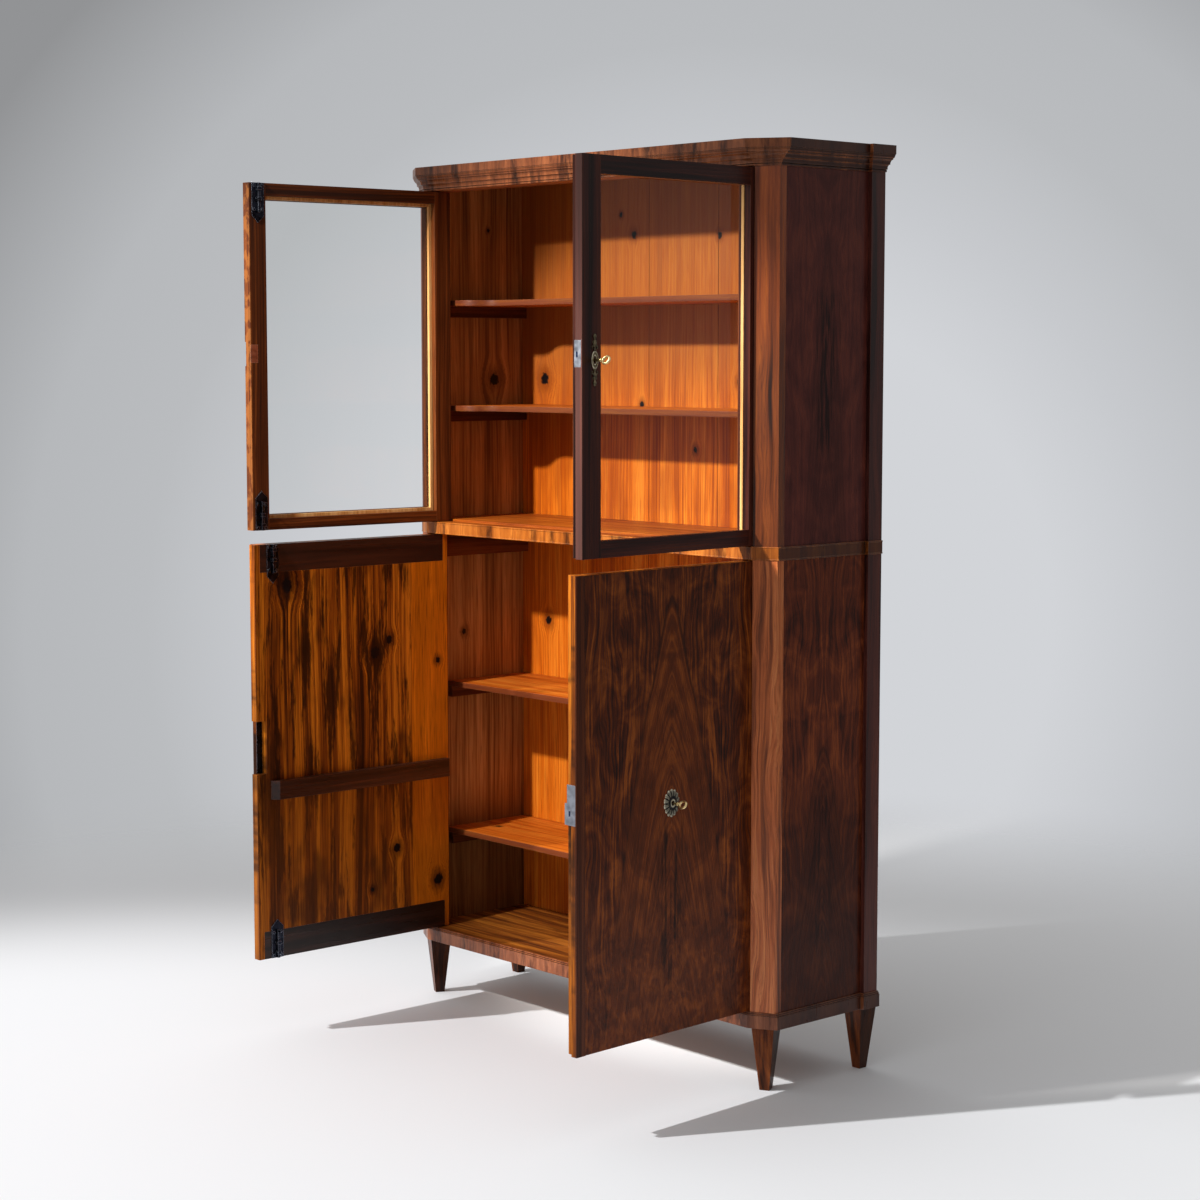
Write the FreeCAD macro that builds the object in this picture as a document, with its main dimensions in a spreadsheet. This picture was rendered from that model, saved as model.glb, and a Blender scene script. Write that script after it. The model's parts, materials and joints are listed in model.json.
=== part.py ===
import FreeCAD, Part
import os
import re
import Sketcher

# Display cabinet with four doors standing open.
# Millimetres. X to the right seen from the front, Y to the back, Z up, floor at Z = 0.
# Doors are laid out closed, then turned about their pivots to the open angles.

doc = FreeCAD.newDocument("display_cabinet")
sheet = doc.addObject("Spreadsheet::Sheet", "Sizes")

sizes = {
    # Case
    "case_width": 1121, "case_depth": 315, "case_height": 1880, "case_front": 84,
    "cant_across": 46.7, "cant_depth": 22.8, "post_depth": 40, "side_thickness": 20,
    "pilaster_width": 40, "pilaster_proud": 9.5,
    "back_thickness": 10, "back_board_gap": 0.8,
    # Levels
    "foot_height": 130.4, "foot_top": 47, "foot_bottom": 20.5, "foot_inset": 2.4, "rear_foot_inset": 1.5,
    "bottom_board_thickness": 22,
    "belt_bottom": 1065.2, "belt_height": 27, "floor_step": 4.8, "floor_stop_gap": 0.6,
    "cornice_height": 51.4, "head_depth": 56, "top_board_thickness": 22,
    # Plinth and belt
    "plinth_proud": 7.6, "plinth_height": 26.2, "plinth_bead": 2.9, "plinth_ledge": 2.2,
    "belt_proud": 2.4, "belt_bead": 3,
    # Cornice members, from the bottom up
    "crown_start": 2, "crown_bead": 5.1, "crown_neck": 5.5, "crown_fillet": 2.4, "crown_step": 1.5,
    "low_cove_rise": 6.7, "low_cove_out": 5.5, "high_cove_rise": 9.4, "high_cove_out": 6,
    "ovolo_rise": 5.7, "ovolo_out": 5,
    # Shelves
    "shelf_front": 77, "shelf_thickness": 12, "shelf_gap": 1,
    "upper_shelf_front": 52, "upper_shelf_recess": 47, "upper_shelf_end": 85.5, "upper_shelf_curve": 80,
    "upper_shelf_low": 1352, "upper_shelf_high": 1587.5, "lower_shelf_low": 378, "lower_shelf_high": 720,
    "cleat_height": 25, "cleat_thickness": 17, "bearer_height": 57, "bearer_thickness": 20,
    # Doors
    "stop_angle": 95, "stop_gap": 0.1, "lap": 3, "lap_gap": 1.2, "lap_depth_gap": 0.4,
    "upper_tongue": 12, "lower_tongue": 7,
    "upper_thickness": 38, "upper_lip": 15, "upper_low_gap": 1.4, "upper_high_gap": 2.1,
    "lower_thickness": 31, "lower_lip": 12, "lower_low_gap": 2, "lower_high_gap": 1.7,
    "upper_right_angle": 93.6, "upper_left_angle": 92.2, "lower_right_angle": 92.7, "lower_left_angle": 90.7,
    "hinge_stile": 50, "free_stile": 50.6, "left_stile_inside": 41, "top_rail": 34.5, "bottom_rail": 32,
    "glass_rebate": 8, "glass_thickness": 3, "glass_gap": 1.5, "glazing_bead": 7,
    "meeting_strip": 23, "strip_proud": 1.6,
    "edge_band": 13.5, "clamp_height": 60, "clamp_depth": 7.5,
    "ledge_height": 41, "ledge_low": 512, "ledge_proud": 14, "ledge_end": 35, "ledge_hinge_end": 8,
    # Pivots
    "pivot_radius": 4, "pivot_play": 0.05, "pivot_reach": 9, "pivot_plate": 3, "pivot_plate_length": 28,
    "pivot_plate_width": 15, "pivot_end_gap": 1, "swing_room_in": 22.8, "swing_room_back": 28.5,
    # Surface bolts
    "bolt_plate_width": 30, "bolt_plate_length": 84, "bolt_plate_thickness": 2,
    "bolt_bar": 5, "bolt_play": 0.2,
    "bolt_throw": 12, "bolt_rod_length": 62, "bolt_staple": 7, "bolt_staple_wall": 2.5,
    "bolt_near_staple": 8, "bolt_far_staple": 30, "bolt_far_screws": 56,
    "bolt_knob_radius": 4, "bolt_knob_length": 9,
    "bolt_clearance": 2, "upper_bolt_inset": 21.3, "lower_bolt_inset": 46, "bolt_notch": 5,
    # Locks
    "upper_key_height": 1456.3, "upper_key_inset": 34, "upper_lock_height": 49, "upper_lock_plate": 17,
    "upper_lock_rise": 11.5, "upper_lock_back": 18,
    "lower_key_height": 612.5, "lower_key_inset": 256, "lower_lock_height": 76, "lower_lock_plate": 22,
    "lower_lock_rise": 26, "lower_lock_back": 31,
    "upper_lock_depth": 13, "lower_lock_depth": 21,
    "lock_plate_start": 1, "lock_plate_thickness": 2, "lock_case_wall": 1.5,
    "lock_case_height": 40, "lock_case_drop": 12, "lock_case_tail": 7, "lock_play": 0.4,
    "lock_bar_inset": 4.5, "lock_bar_thickness": 4, "lock_bar_height": 10, "lock_bar_rise": 5,
    "lock_throw": 10, "lock_lug": 4, "lock_lug_gap": 1.6, "lock_lug_rise": 1,
    "lock_mortise_play": 1, "lock_mortise_end": 3,
    # Keys and plates
    "key_shank": 2.6, "key_hole_play": 1.2, "key_out": 22, "key_ring": 7.5, "key_ring_wire": 1.8,
    "key_collar": 4, "key_collar_step": 1.2,
    "key_bit_reach": 9, "key_bit_width": 3, "key_bit_depth": 6, "key_end_gap": 1,
    "escutcheon_width": 21, "escutcheon_height": 98, "escutcheon_waist": 7, "escutcheon_lobe": 11.7,
    "escutcheon_hollow": 12, "escutcheon_thickness": 1.6,
    "rosette_width": 44, "rosette_height": 55, "rosette_dome": 5,
    "strike_width": 17.7, "strike_height": 38, "strike_thickness": 1.2, "strike_offset": 12,
    "lower_recess_low": 569, "lower_recess_height": 115, "lower_recess_width": 25,
    "screw_head_radius": 3.2, "screw_head_height": 1, "screw_edge": 5.5,
    # How far a cutting block runs past the face that it opens
    "overrun": 1,
}

for row, (alias, value) in enumerate(sizes.items(), start=1):
    sheet.set(f"A{row}", alias)
    sheet.set(f"B{row}", str(value))
    sheet.setAlias(f"B{row}", alias)
doc.recompute()

# Values worked out from the sizes above.
derived = {
    "half_width": "case_width / 2",
    "arris": "half_width - cant_across",
    "inner_wall": "half_width - side_thickness",
    "case_back": "case_front + case_depth",
    "cant_back": "case_front + cant_depth",
    "post_back": "case_front + post_depth",
    "back_front": "case_back - back_thickness",
    "pilaster_front": "case_back - pilaster_width",
    "head_top": "case_height - top_board_thickness",
    "head_bottom": "case_height - cornice_height",
    "belt_top": "belt_bottom + belt_height",
    "bottom_board_top": "foot_height + plinth_height + 2 * plinth_bead",
    "upper_bottom": "belt_top + upper_low_gap",
    "upper_top": "head_bottom - upper_high_gap",
    "lower_bottom": "bottom_board_top + lower_low_gap",
    "lower_top": "belt_bottom - lower_high_gap",
    "upper_floor": "belt_top + floor_step",
    "floor_stop": "case_front + upper_thickness + floor_stop_gap",
    "shelf_back": "back_front - shelf_gap",
    "upper_half": "upper_thickness / 2",
    "lower_half": "lower_thickness / 2",
    "upper_pivot": "arris - upper_half * tan(stop_angle / 2) - stop_gap",
    "lower_pivot": "arris - lower_half * tan(stop_angle / 2) - stop_gap",
    "upper_axis": "case_front + upper_half",
    "lower_axis": "case_front + lower_half",
    "sight_right": "free_stile - lap",
    "sight_left": "left_stile_inside - upper_tongue + glass_rebate",
    "sight_hinge": "upper_pivot + upper_half - hinge_stile",
    "sight_low": "upper_bottom + bottom_rail",
    "sight_high": "upper_top - top_rail",
    "upper_lip_back": "case_front + upper_lip",
    "lower_lip_back": "case_front + lower_lip",
    "upper_inner": "case_front + upper_thickness",
    "lower_inner": "case_front + lower_thickness",
    "lower_edge": "lower_pivot + lower_half",
}


def expand(text):
    """Write a derived name out in full and point every size at the sheet."""
    def swap(match):
        word = match.group(0)
        if word in derived:
            return "(" + expand(derived[word]) + ")"
        return "Sizes." + word if word in sizes else word
    return re.sub(r"[a-z_]+[a-z_0-9]*", swap, str(text))


def number(text):
    return float(sheet.evalExpression(expand(text)))


def bind(thing, prop, text):
    thing.setExpression(prop, expand(text))


def place(thing, x, y, z):
    bind(thing, ".Placement.Base.x", x)
    bind(thing, ".Placement.Base.y", y)
    bind(thing, ".Placement.Base.z", z)


def sided(pair, side):
    """An x range on the right (side 1) or mirrored to the left (side -1)."""
    low, high = pair
    return (low, high) if side > 0 else (f"-({high})", f"-({low})")


def block(name, x, y, z, side=1):
    thing = doc.addObject("Part::Box", name)
    x = sided(x, side)
    for prop, (low, high) in zip(("Length", "Width", "Height"), (x, y, z)):
        bind(thing, prop, f"({high}) - ({low})")
    place(thing, x[0], y[0], z[0])
    return thing


def cylinder(name, x, y, z, radius, height, turn=None):
    thing = doc.addObject("Part::Cylinder", name)
    if turn:
        thing.Placement = FreeCAD.Placement(FreeCAD.Vector(), FreeCAD.Rotation(*turn))
    bind(thing, "Radius", radius)
    bind(thing, "Height", height)
    place(thing, x, y, z)
    return thing


def fuse(name, *pieces):
    thing = doc.addObject("Part::MultiFuse", name)
    thing.Shapes = list(pieces)
    thing.Refine = True
    return thing


def cut(name, base, *tools):
    tool = tools[0] if len(tools) == 1 else fuse(name + "_tools", *tools)
    thing = doc.addObject("Part::Cut", name)
    thing.Base = base
    thing.Tool = tool
    thing.Refine = True
    return thing


def group(name, *pieces):
    thing = doc.addObject("Part::Compound", name)
    thing.Links = list(pieces)
    return thing


def outline(sketch, points, arcs):
    """Closed outline through points; arcs maps a segment's number to its centre's x."""
    places = [FreeCAD.Vector(number(x), number(y), 0) for x, y in points]
    heads = []
    for index, start in enumerate(places):
        end = places[(index + 1) % len(places)]
        heads.append(1)
        if index not in arcs:
            sketch.addGeometry(Part.LineSegment(start, end), False)
            continue
        centre_x = number(arcs[index])
        rise = (end.x - start.x) * (end.x + start.x - 2 * centre_x)
        centre = FreeCAD.Vector(centre_x, (start.y + end.y + rise / (end.y - start.y)) / 2, 0)
        circle = Part.Circle(centre, FreeCAD.Vector(0, 0, 1), (start - centre).Length)
        if (start - centre).cross(end - centre).z < 0:
            heads[index] = 2
            start, end = end, start
        sketch.addGeometry(Part.ArcOfCircle(circle, circle.parameter(start), circle.parameter(end)), False)
    for index, (x, y) in enumerate(points):
        follower = (index + 1) % len(points)
        tail = 3 - heads[index]
        sketch.addConstraint(Sketcher.Constraint("Coincident", index, tail, follower, heads[follower]))
        wanted = [("DistanceX", heads[index], x), ("DistanceY", heads[index], y)]
        if index in arcs:
            wanted.append(("DistanceX", 3, arcs[index]))
        for kind, end_of, text in wanted:
            spot = sketch.addConstraint(Sketcher.Constraint(kind, -1, 1, index, end_of, number(text)))
            bind(sketch, f"Constraints[{spot}]", text)


def extruded(name, role, points, start, length, arcs=None):
    """A piece with one outline, drawn on a plane of its own body and padded."""
    body = doc.addObject("PartDesign::Body", name)
    plane = next(item for item in body.Origin.OriginFeatures if item.Role == role)
    sketch = body.newObject("Sketcher::SketchObject", name + "_outline")
    sketch.AttachmentSupport = (plane, [""])
    sketch.MapMode = "FlatFace"
    bind(sketch, ".AttachmentOffset.Base.z", start)
    outline(sketch, points, arcs or {})
    pad = body.newObject("PartDesign::Pad", name + "_pad")
    pad.Profile = sketch
    bind(pad, "Length", length)
    body.Tip = pad
    return body


def plan(name, points, low, high, side=1, arcs=None):
    """A plan outline (x, y) from level low to level high."""
    sign = "" if side > 0 else "-"
    points = [(f"{sign}({x})", y) for x, y in points]
    arcs = {index: f"{sign}({x})" for index, x in (arcs or {}).items()}
    return extruded(name, "XY_Plane", points, low, f"({high}) - ({low})", arcs)


def along(name, points, low, high, arcs=None):
    """A section (y, z) run along X from low to high."""
    return extruded(name, "YZ_Plane", points, low, f"({high}) - ({low})", arcs)


def facing(name, points, front, back, arcs=None):
    """A front view (x, z) from the plane y = front to the plane y = back."""
    return extruded(name, "XZ_Plane", points, f"-({back})", f"({back}) - ({front})", arcs)


def taper(name, low_points, high_points, low, high):
    """A piece ruled between two plan outlines."""
    body = doc.addObject("PartDesign::Body", name)
    plane = next(item for item in body.Origin.OriginFeatures if item.Role == "XY_Plane")
    sketches = []
    for end, points, level in (("low", low_points, low), ("high", high_points, high)):
        sketch = body.newObject("Sketcher::SketchObject", f"{name}_{end}")
        sketch.AttachmentSupport = (plane, [""])
        sketch.MapMode = "FlatFace"
        bind(sketch, ".AttachmentOffset.Base.z", level)
        outline(sketch, points, {})
        sketches.append(sketch)
    loft = body.newObject("PartDesign::AdditiveLoft", name + "_loft")
    loft.Profile = sketches[0]
    loft.Sections = [sketches[1]]
    loft.Ruled = True
    body.Tip = loft
    return body


def moulding(name, path, profile):
    """Mitred lengths along a plan path; each stop is (x, y, outward x, outward y)."""
    def section(stop):
        x, y, out_x, out_y = stop
        def spot(pair):
            return FreeCAD.Vector(x + out_x * pair[0], y + out_y * pair[0], pair[1])
        edges = []
        for start, step in zip(profile, profile[1:] + profile[:1]):
            if len(step) == 4:
                edges.append(Part.Arc(spot(start), spot(step[2:]), spot(step)).toShape())
            else:
                edges.append(Part.makeLine(spot(start), spot(step)))
        return Part.Wire(edges)
    sections = [section(stop) for stop in path]
    lengths = [Part.makeLoft([start, end], True, True) for start, end in zip(sections, sections[1:])]
    thing = doc.addObject("Part::Feature", name)
    thing.Shape = Part.makeCompound(lengths)
    return thing


def band_path():
    """Plan path round the case from the left rear to the right rear, stepping out round the pilasters."""
    half, edge = number("half_width"), number("arris")
    front, cant_end, back = number("case_front"), number("cant_back"), number("case_back")
    step, strip = number("pilaster_proud"), number("pilaster_front")
    right = [(edge, front, 0, -1), (half, cant_end, 1, 0), (half, strip, 1, -1),
             (half + step, strip, 1, -1), (half + step, back, 1, 0)]
    left = [(-x, y, -out_x, out_y) for x, y, out_x, out_y in reversed(right)]
    return left + right


nodes = []


def keep(thing, name):
    thing.Label = name
    nodes.append(thing)
    return thing


def hang(name, piece, tier, side):
    """Turn a piece of a closed door about the door's pivot to its open angle."""
    hand = "right" if side > 0 else "left"
    sign = "" if side > 0 else "-"
    thing = group(name, piece)
    thing.Placement = FreeCAD.Placement(FreeCAD.Vector(), FreeCAD.Rotation(FreeCAD.Vector(0, 0, 1), 1))
    angle = f"({sign}{tier}_{hand}_angle)"
    x, y = f"({sign}{tier}_pivot)", f"{tier}_axis"
    bind(thing, ".Placement.Rotation.Angle", angle)
    bind(thing, ".Placement.Base.x", f"{x} - {x} * cos({angle}) + {y} * sin({angle})")
    bind(thing, ".Placement.Base.y", f"{y} - {x} * sin({angle}) - {y} * cos({angle})")
    return keep(thing, name)


# Feet: square, tapering, the front ones turned to face along the cants
derived.update({
    "cant_length": "sqrt(cant_across ^ 2 + cant_depth ^ 2)",
    "cant_x": "cant_across / cant_length",
    "cant_y": "cant_depth / cant_length",
    "foot_reach": "foot_inset + foot_top / 2",
    "front_foot_x": "half_width - cant_across / 2 - cant_y * foot_reach",
    "front_foot_y": "case_front + cant_depth / 2 + cant_x * foot_reach",
    "rear_foot_x": "half_width + pilaster_proud - rear_foot_inset - foot_top / 2",
    "rear_foot_y": "case_back - foot_top / 2",
})


def square(side, x, y, width, turn_x, turn_y):
    corners = []
    for first, second in ((1, 1), (1, -1), (-1, -1), (-1, 1)):
        corner_x = f"{x} + {width} / 2 * ({first} * {turn_x} + {second} * {turn_y})"
        corner_y = f"{y} + {width} / 2 * ({first} * {turn_y} - {second} * {turn_x})"
        corners.append((f"{side} * ({corner_x})", corner_y))
    return corners


for hand, side in (("left", -1), ("right", 1)):
    for row, turn in (("front", ("cant_x", "cant_y")), ("rear", ("1", "0"))):
        name = f"foot_{row}_{hand}"
        ends = [square(side, f"{row}_foot_x", f"{row}_foot_y", width, *turn)
                for width in ("foot_bottom", "foot_top")]
        keep(taper(name, *ends, "0", "foot_height"), name)

# Uprights: side panels, canted corner posts, rear pilaster strips
for hand, side in (("left", -1), ("right", 1)):
    keep(block(f"side_panel_{hand}", ("inner_wall", "half_width"), ("post_back", "case_back"),
               ("foot_height", "head_top"), side), f"side_panel_{hand}")
    post = [("arris", "case_front"), ("half_width", "cant_back"), ("half_width", "post_back"),
            ("arris", "post_back")]
    keep(plan(f"corner_post_{hand}", post, "foot_height", "head_top", side), f"corner_post_{hand}")
    strip = block(f"rear_pilaster_{hand}", ("half_width", "half_width + pilaster_proud"),
                  ("pilaster_front", "case_back"), ("foot_height", "case_height"), side)
    keep(strip, f"rear_pilaster_{hand}")

# Places of the pivots and bolts, with the doors closed
derived.update({
    "upper_bolt_x": "upper_tongue - upper_bolt_inset",
    "lower_bolt_x": "lower_tongue - lower_bolt_inset",
    "upper_bolt_y": "upper_inner + bolt_plate_thickness + bolt_play + bolt_bar / 2",
    "lower_bolt_y": "lower_inner + bolt_plate_thickness + bolt_play + bolt_bar / 2",
    "bolt_hole": "bolt_bar / 2 + bolt_clearance",
    "bolt_depth": "bolt_throw + bolt_clearance",
})


def pivot_holes(name, tier, low):
    return [cylinder(f"{name}_{hand}", f"{side} * {tier}_pivot", f"{tier}_axis", low,
                     "pivot_radius + pivot_play", "pivot_reach")
            for hand, side in (("left", -1), ("right", 1))]


def bolt_hole(name, tier, low):
    return block(name, (f"{tier}_bolt_x - bolt_hole", f"{tier}_bolt_x + bolt_hole"),
                 (f"{tier}_bolt_y - bolt_hole", f"{tier}_bolt_y + bolt_hole"), (low, f"{low} + bolt_depth"))


# Boards between the sides, notched round the posts
def notched(name, low, high):
    half = [("arris", "case_front"), ("arris", "post_back"), ("inner_wall", "post_back"),
            ("inner_wall", "back_front")]
    return plan(name, half + [(f"-({x})", y) for x, y in reversed(half)], low, high)


bottom = notched("bottom_plank", "bottom_board_top - bottom_board_thickness", "bottom_board_top")
bottom_holes = pivot_holes("bottom_pivot_hole", "lower", "bottom_board_top - pivot_reach")
bottom_holes.append(bolt_hole("bottom_bolt_hole", "lower", "bottom_board_top - bolt_depth"))
keep(cut("bottom_board", bottom, *bottom_holes), "bottom_board")

middle = notched("middle_plank", "belt_bottom", "upper_floor")
step_levels = ("belt_top", "upper_floor + overrun")
middle_cuts = [block("floor_step_cut", ("-arris", "arris"), ("case_front", "floor_stop"), step_levels)]
for hand, side in (("left", -1), ("right", 1)):
    middle_cuts.append(block(f"swing_cut_{hand}", ("upper_pivot - swing_room_in", "arris"),
                             ("floor_stop - overrun", "upper_axis + swing_room_back"), step_levels, side))
derived["bolt_notch_reach"] = "bolt_plate_width / 2 + bolt_notch"
derived["bolt_notch_back"] = "upper_bolt_y + bolt_bar / 2 + bolt_staple_wall + bolt_notch"
middle_cuts.append(block("bolt_notch_cut",
                         ("upper_bolt_x - bolt_notch_reach", "upper_bolt_x + bolt_notch_reach"),
                         ("floor_stop - overrun", "bolt_notch_back"), step_levels))
middle_cuts += pivot_holes("middle_upper_hole", "upper", "belt_top - pivot_reach")
middle_cuts += pivot_holes("middle_lower_hole", "lower", "belt_bottom")
middle_cuts.append(bolt_hole("middle_upper_bolt", "upper", "belt_top - bolt_depth"))
middle_cuts.append(bolt_hole("middle_lower_bolt", "lower", "belt_bottom"))
keep(cut("middle_board", middle, *middle_cuts), "middle_board")

head = block("head_plank", ("-arris", "arris"), ("case_front", "case_front + head_depth"),
             ("head_bottom", "head_top"))
head_holes = pivot_holes("head_pivot_hole", "upper", "head_bottom")
head_holes.append(bolt_hole("head_bolt_hole", "upper", "head_bottom"))
keep(cut("head_rail", head, *head_holes), "head_rail")

top_half = [("arris", "case_front"), ("half_width", "cant_back"), ("half_width", "case_back")]
top_outline = top_half + [(f"-({x})", y) for x, y in reversed(top_half)]
keep(plan("top_board", top_outline, "head_top", "case_height"), "top_board")

# Back: upright boards between the sides
BOARDS = 5
derived["back_board"] = f"(2 * inner_wall - {BOARDS - 1} * back_board_gap) / {BOARDS}"
back = []
for index in range(BOARDS):
    start = f"-inner_wall + {index} * (back_board + back_board_gap)"
    back.append(block(f"back_board_{index + 1}", (start, f"{start} + back_board"),
                      ("back_front", "case_back"),
                      ("bottom_board_top - bottom_board_thickness", "head_top")))
keep(group("back_boards", *back), "back_boards")

# Shelves: straight below; above, the front curves back from both ends to a straight middle
derived.update({
    "shelf_edge": "case_front + shelf_front",
    "shelf_end": "inner_wall - shelf_gap",
    "end_edge": "case_front + upper_shelf_front",
    "recess_edge": "end_edge + upper_shelf_recess",
    "curve_start": "inner_wall - upper_shelf_end",
    "curve_end": "curve_start - upper_shelf_curve",
})
shelf_half = [("shelf_end", "shelf_back"), ("shelf_end", "end_edge"), ("curve_start", "end_edge"),
              ("(curve_start + curve_end) / 2", "(end_edge + recess_edge) / 2"), ("curve_end", "recess_edge")]
shelf_outline = shelf_half + [(f"-({x})", y) for x, y in reversed(shelf_half)]
shelf_curves = {2: "curve_start", 3: "curve_end", 5: "-(curve_end)", 6: "-(curve_start)"}
for level in ("low", "high"):
    surface = f"upper_shelf_{level}"
    keep(plan(f"{surface}_board", shelf_outline, f"{surface} - shelf_thickness", surface, 1, shelf_curves),
         surface)
    surface = f"lower_shelf_{level}"
    keep(block(f"{surface}_board", ("-(shelf_end)", "shelf_end"), ("shelf_edge", "shelf_back"),
               (f"{surface} - shelf_thickness", surface)), surface)

# Cleats under the shelves and bearers under the middle board
supports = []
for hand, side in (("left", -1), ("right", 1)):
    for surface in ("upper_shelf_low", "upper_shelf_high", "lower_shelf_low", "lower_shelf_high"):
        underside = f"{surface} - shelf_thickness"
        supports.append(block(f"{surface}_cleat_{hand}", ("inner_wall - cleat_thickness", "inner_wall"),
                              ("shelf_edge", "shelf_back"), (f"{underside} - cleat_height", underside), side))
    supports.append(block(f"bearer_{hand}", ("inner_wall - bearer_thickness", "inner_wall"),
                          ("post_back", "back_front"), ("belt_bottom - bearer_height", "belt_bottom"), side))
keep(group("shelf_cleats", *supports), "shelf_cleats")

# Bands round the case: plinth, belt, cornice
plinth_low, plinth_high = number("foot_height"), number("foot_height + plinth_height")
plinth_out, ledge, bead = number("plinth_proud"), number("plinth_ledge"), number("plinth_bead")
plinth = [(0, plinth_low), (plinth_out, plinth_low), (plinth_out, plinth_high)]
for count in (1, 2):
    out = plinth_out - count * ledge
    low = plinth_high + (count - 1) * bead
    plinth += [(out, low), (out, low + bead, out + bead / 3, low + bead / 2)]
plinth.append((0, plinth_high + 2 * bead))
keep(moulding("plinth_band", band_path(), plinth), "plinth_moulding")

belt_low, belt_high = number("belt_bottom"), number("belt_top")
belt_out, bead = number("belt_proud"), number("belt_bead")
belt = [(0, belt_low), (belt_out, belt_low),
        (belt_out, belt_low + bead, belt_out + bead / 3, belt_low + bead / 2),
        (belt_out, belt_high - bead),
        (belt_out, belt_high, belt_out + bead / 3, belt_high - bead / 2),
        (0, belt_high)]
keep(moulding("belt_band", band_path(), belt), "belt_moulding")

crown = [(0, number("head_bottom"))]


def crown_line(out, rise):
    crown.append((crown[-1][0] + out, crown[-1][1] + rise))


def crown_arc(out, rise, lean_out, lean_up):
    """An arc to a point out and up, through a point that leans out and up from its start."""
    start = crown[-1]
    crown.append((start[0] + out, start[1] + rise, start[0] + lean_out, start[1] + lean_up))


def crown_cove(member):
    out, rise = number(member + "_out"), number(member + "_rise")
    crown_arc(out, rise, NEAR * out, FAR * rise)


def crown_ovolo(member):
    out, rise = number(member + "_out"), number(member + "_rise")
    crown_arc(out, rise, FAR * out, NEAR * rise)


NEAR, FAR = 0.3, 0.7


step, fillet, round_bead = number("crown_step"), number("crown_fillet"), number("crown_bead")
crown_line(number("crown_start"), 0)
crown_arc(0, round_bead, round_bead / 3, round_bead / 2)
crown_line(number("crown_neck - crown_start"), 0)
crown_line(0, fillet)
crown_cove("low_cove")
crown_line(step, 0)
crown_cove("high_cove")
crown_line(step, 0)
crown_line(0, fillet)
crown_ovolo("ovolo")
crown_line(step, 0)
crown_line(0, fillet)
crown_line(step, 0)
crown.append((crown[-1][0], number("case_height")))
crown.append((0, number("case_height")))
keep(moulding("cornice_band", band_path(), crown), "cornice")

# Pivots: an iron plate let into each door edge, with a pin that turns in the case
LEVELS = {("upper", "top"): ("upper_top", "head_bottom"),
          ("upper", "bottom"): ("upper_bottom", "belt_top"),
          ("lower", "top"): ("lower_top", "belt_bottom"),
          ("lower", "bottom"): ("lower_bottom", "bottom_board_top")}


def pivot_plate(name, tier, end, side):
    door = LEVELS[tier, end][0]
    level = (f"{door} - pivot_plate", door) if end == "top" else (door, f"{door} + pivot_plate")
    outer = f"{tier}_pivot + pivot_plate_width / 2"
    return block(name, (f"{outer} - pivot_plate_length", outer),
                 (f"{tier}_axis - pivot_plate_width / 2", f"{tier}_axis + pivot_plate_width / 2"),
                 level, side)


def pivots(tier, hand, side):
    pair = []
    for end in ("top", "bottom"):
        door, case = LEVELS[tier, end]
        name = f"{tier}_{hand}_{end}_pivot"
        gap = f"{case} - {door}" if end == "top" else f"{door} - {case}"
        reach = f"({gap} + pivot_reach - pivot_end_gap + pivot_plate)"
        foot = f"{door} - pivot_plate" if end == "top" else f"{door} + pivot_plate - {reach}"
        pin = cylinder(name + "_pin", f"{side} * {tier}_pivot", f"{tier}_axis", foot, "pivot_radius", reach)
        pair.append(fuse(name, pivot_plate(name + "_plate", tier, end, side), pin))
    hang(f"{tier}_{hand}_pivots", group(f"{tier}_{hand}_pivot_pair", *pair), tier, side)


def pivot_pockets(name, tier, side):
    return [pivot_plate(f"{name}_{end}_pocket", tier, end, side) for end in ("top", "bottom")]


# Places in the locks, with the doors closed
for tier in ("upper", "lower"):
    derived.update({
        f"{tier}_key_x": f"{tier}_key_inset - lap",
        f"{tier}_plate_z": f"{tier}_key_height + {tier}_lock_rise",
        f"{tier}_plate_back": f"case_front + lock_plate_start + {tier}_lock_plate",
        f"{tier}_case_back": f"case_front + {tier}_lock_back",
        f"{tier}_case_front": f"{tier}_case_back - {tier}_lock_depth",
        f"{tier}_case_low": f"{tier}_key_height - lock_case_drop",
        f"{tier}_bar_y": f"{tier}_case_front + lock_bar_inset",
        f"{tier}_bar_low": f"{tier}_key_height + lock_bar_rise",
        f"{tier}_bar_high": f"{tier}_bar_low + lock_bar_height",
    })
ALONG_Y = (FreeCAD.Vector(1, 0, 0), -90)


def grown(pair, play):
    return (f"{pair[0]} - {play}", f"{pair[1]} + {play}")


def lock_ranges(tier):
    plate = (("-lap", "-lap + lock_plate_thickness"), ("case_front + lock_plate_start", f"{tier}_plate_back"),
             (f"{tier}_plate_z - {tier}_lock_height / 2", f"{tier}_plate_z + {tier}_lock_height / 2"))
    case = (("-lap + lock_plate_thickness", f"{tier}_key_x + lock_case_tail"),
            (f"{tier}_case_front", f"{tier}_case_back"),
            (f"{tier}_case_low", f"{tier}_case_low + lock_case_height"))
    return plate, case


def lock_mortise(name, tier):
    """What the right door loses to its lock and key."""
    plate, case = lock_ranges(tier)
    pocket_back = f"{tier}_inner" if tier == "lower" else case[1][1]
    return [block(name + "_plate_cut", ("-lap - overrun", plate[0][1]), plate[1], plate[2]),
            block(name + "_case_cut", case[0], (case[1][0], pocket_back), case[2]),
            cylinder(name + "_key_cut", f"{tier}_key_x", "case_front - strip_proud", f"{tier}_key_height",
                     "key_shank + key_hole_play",
                     f"{tier}_case_front + overrun - case_front + strip_proud", ALONG_Y)]


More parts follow.
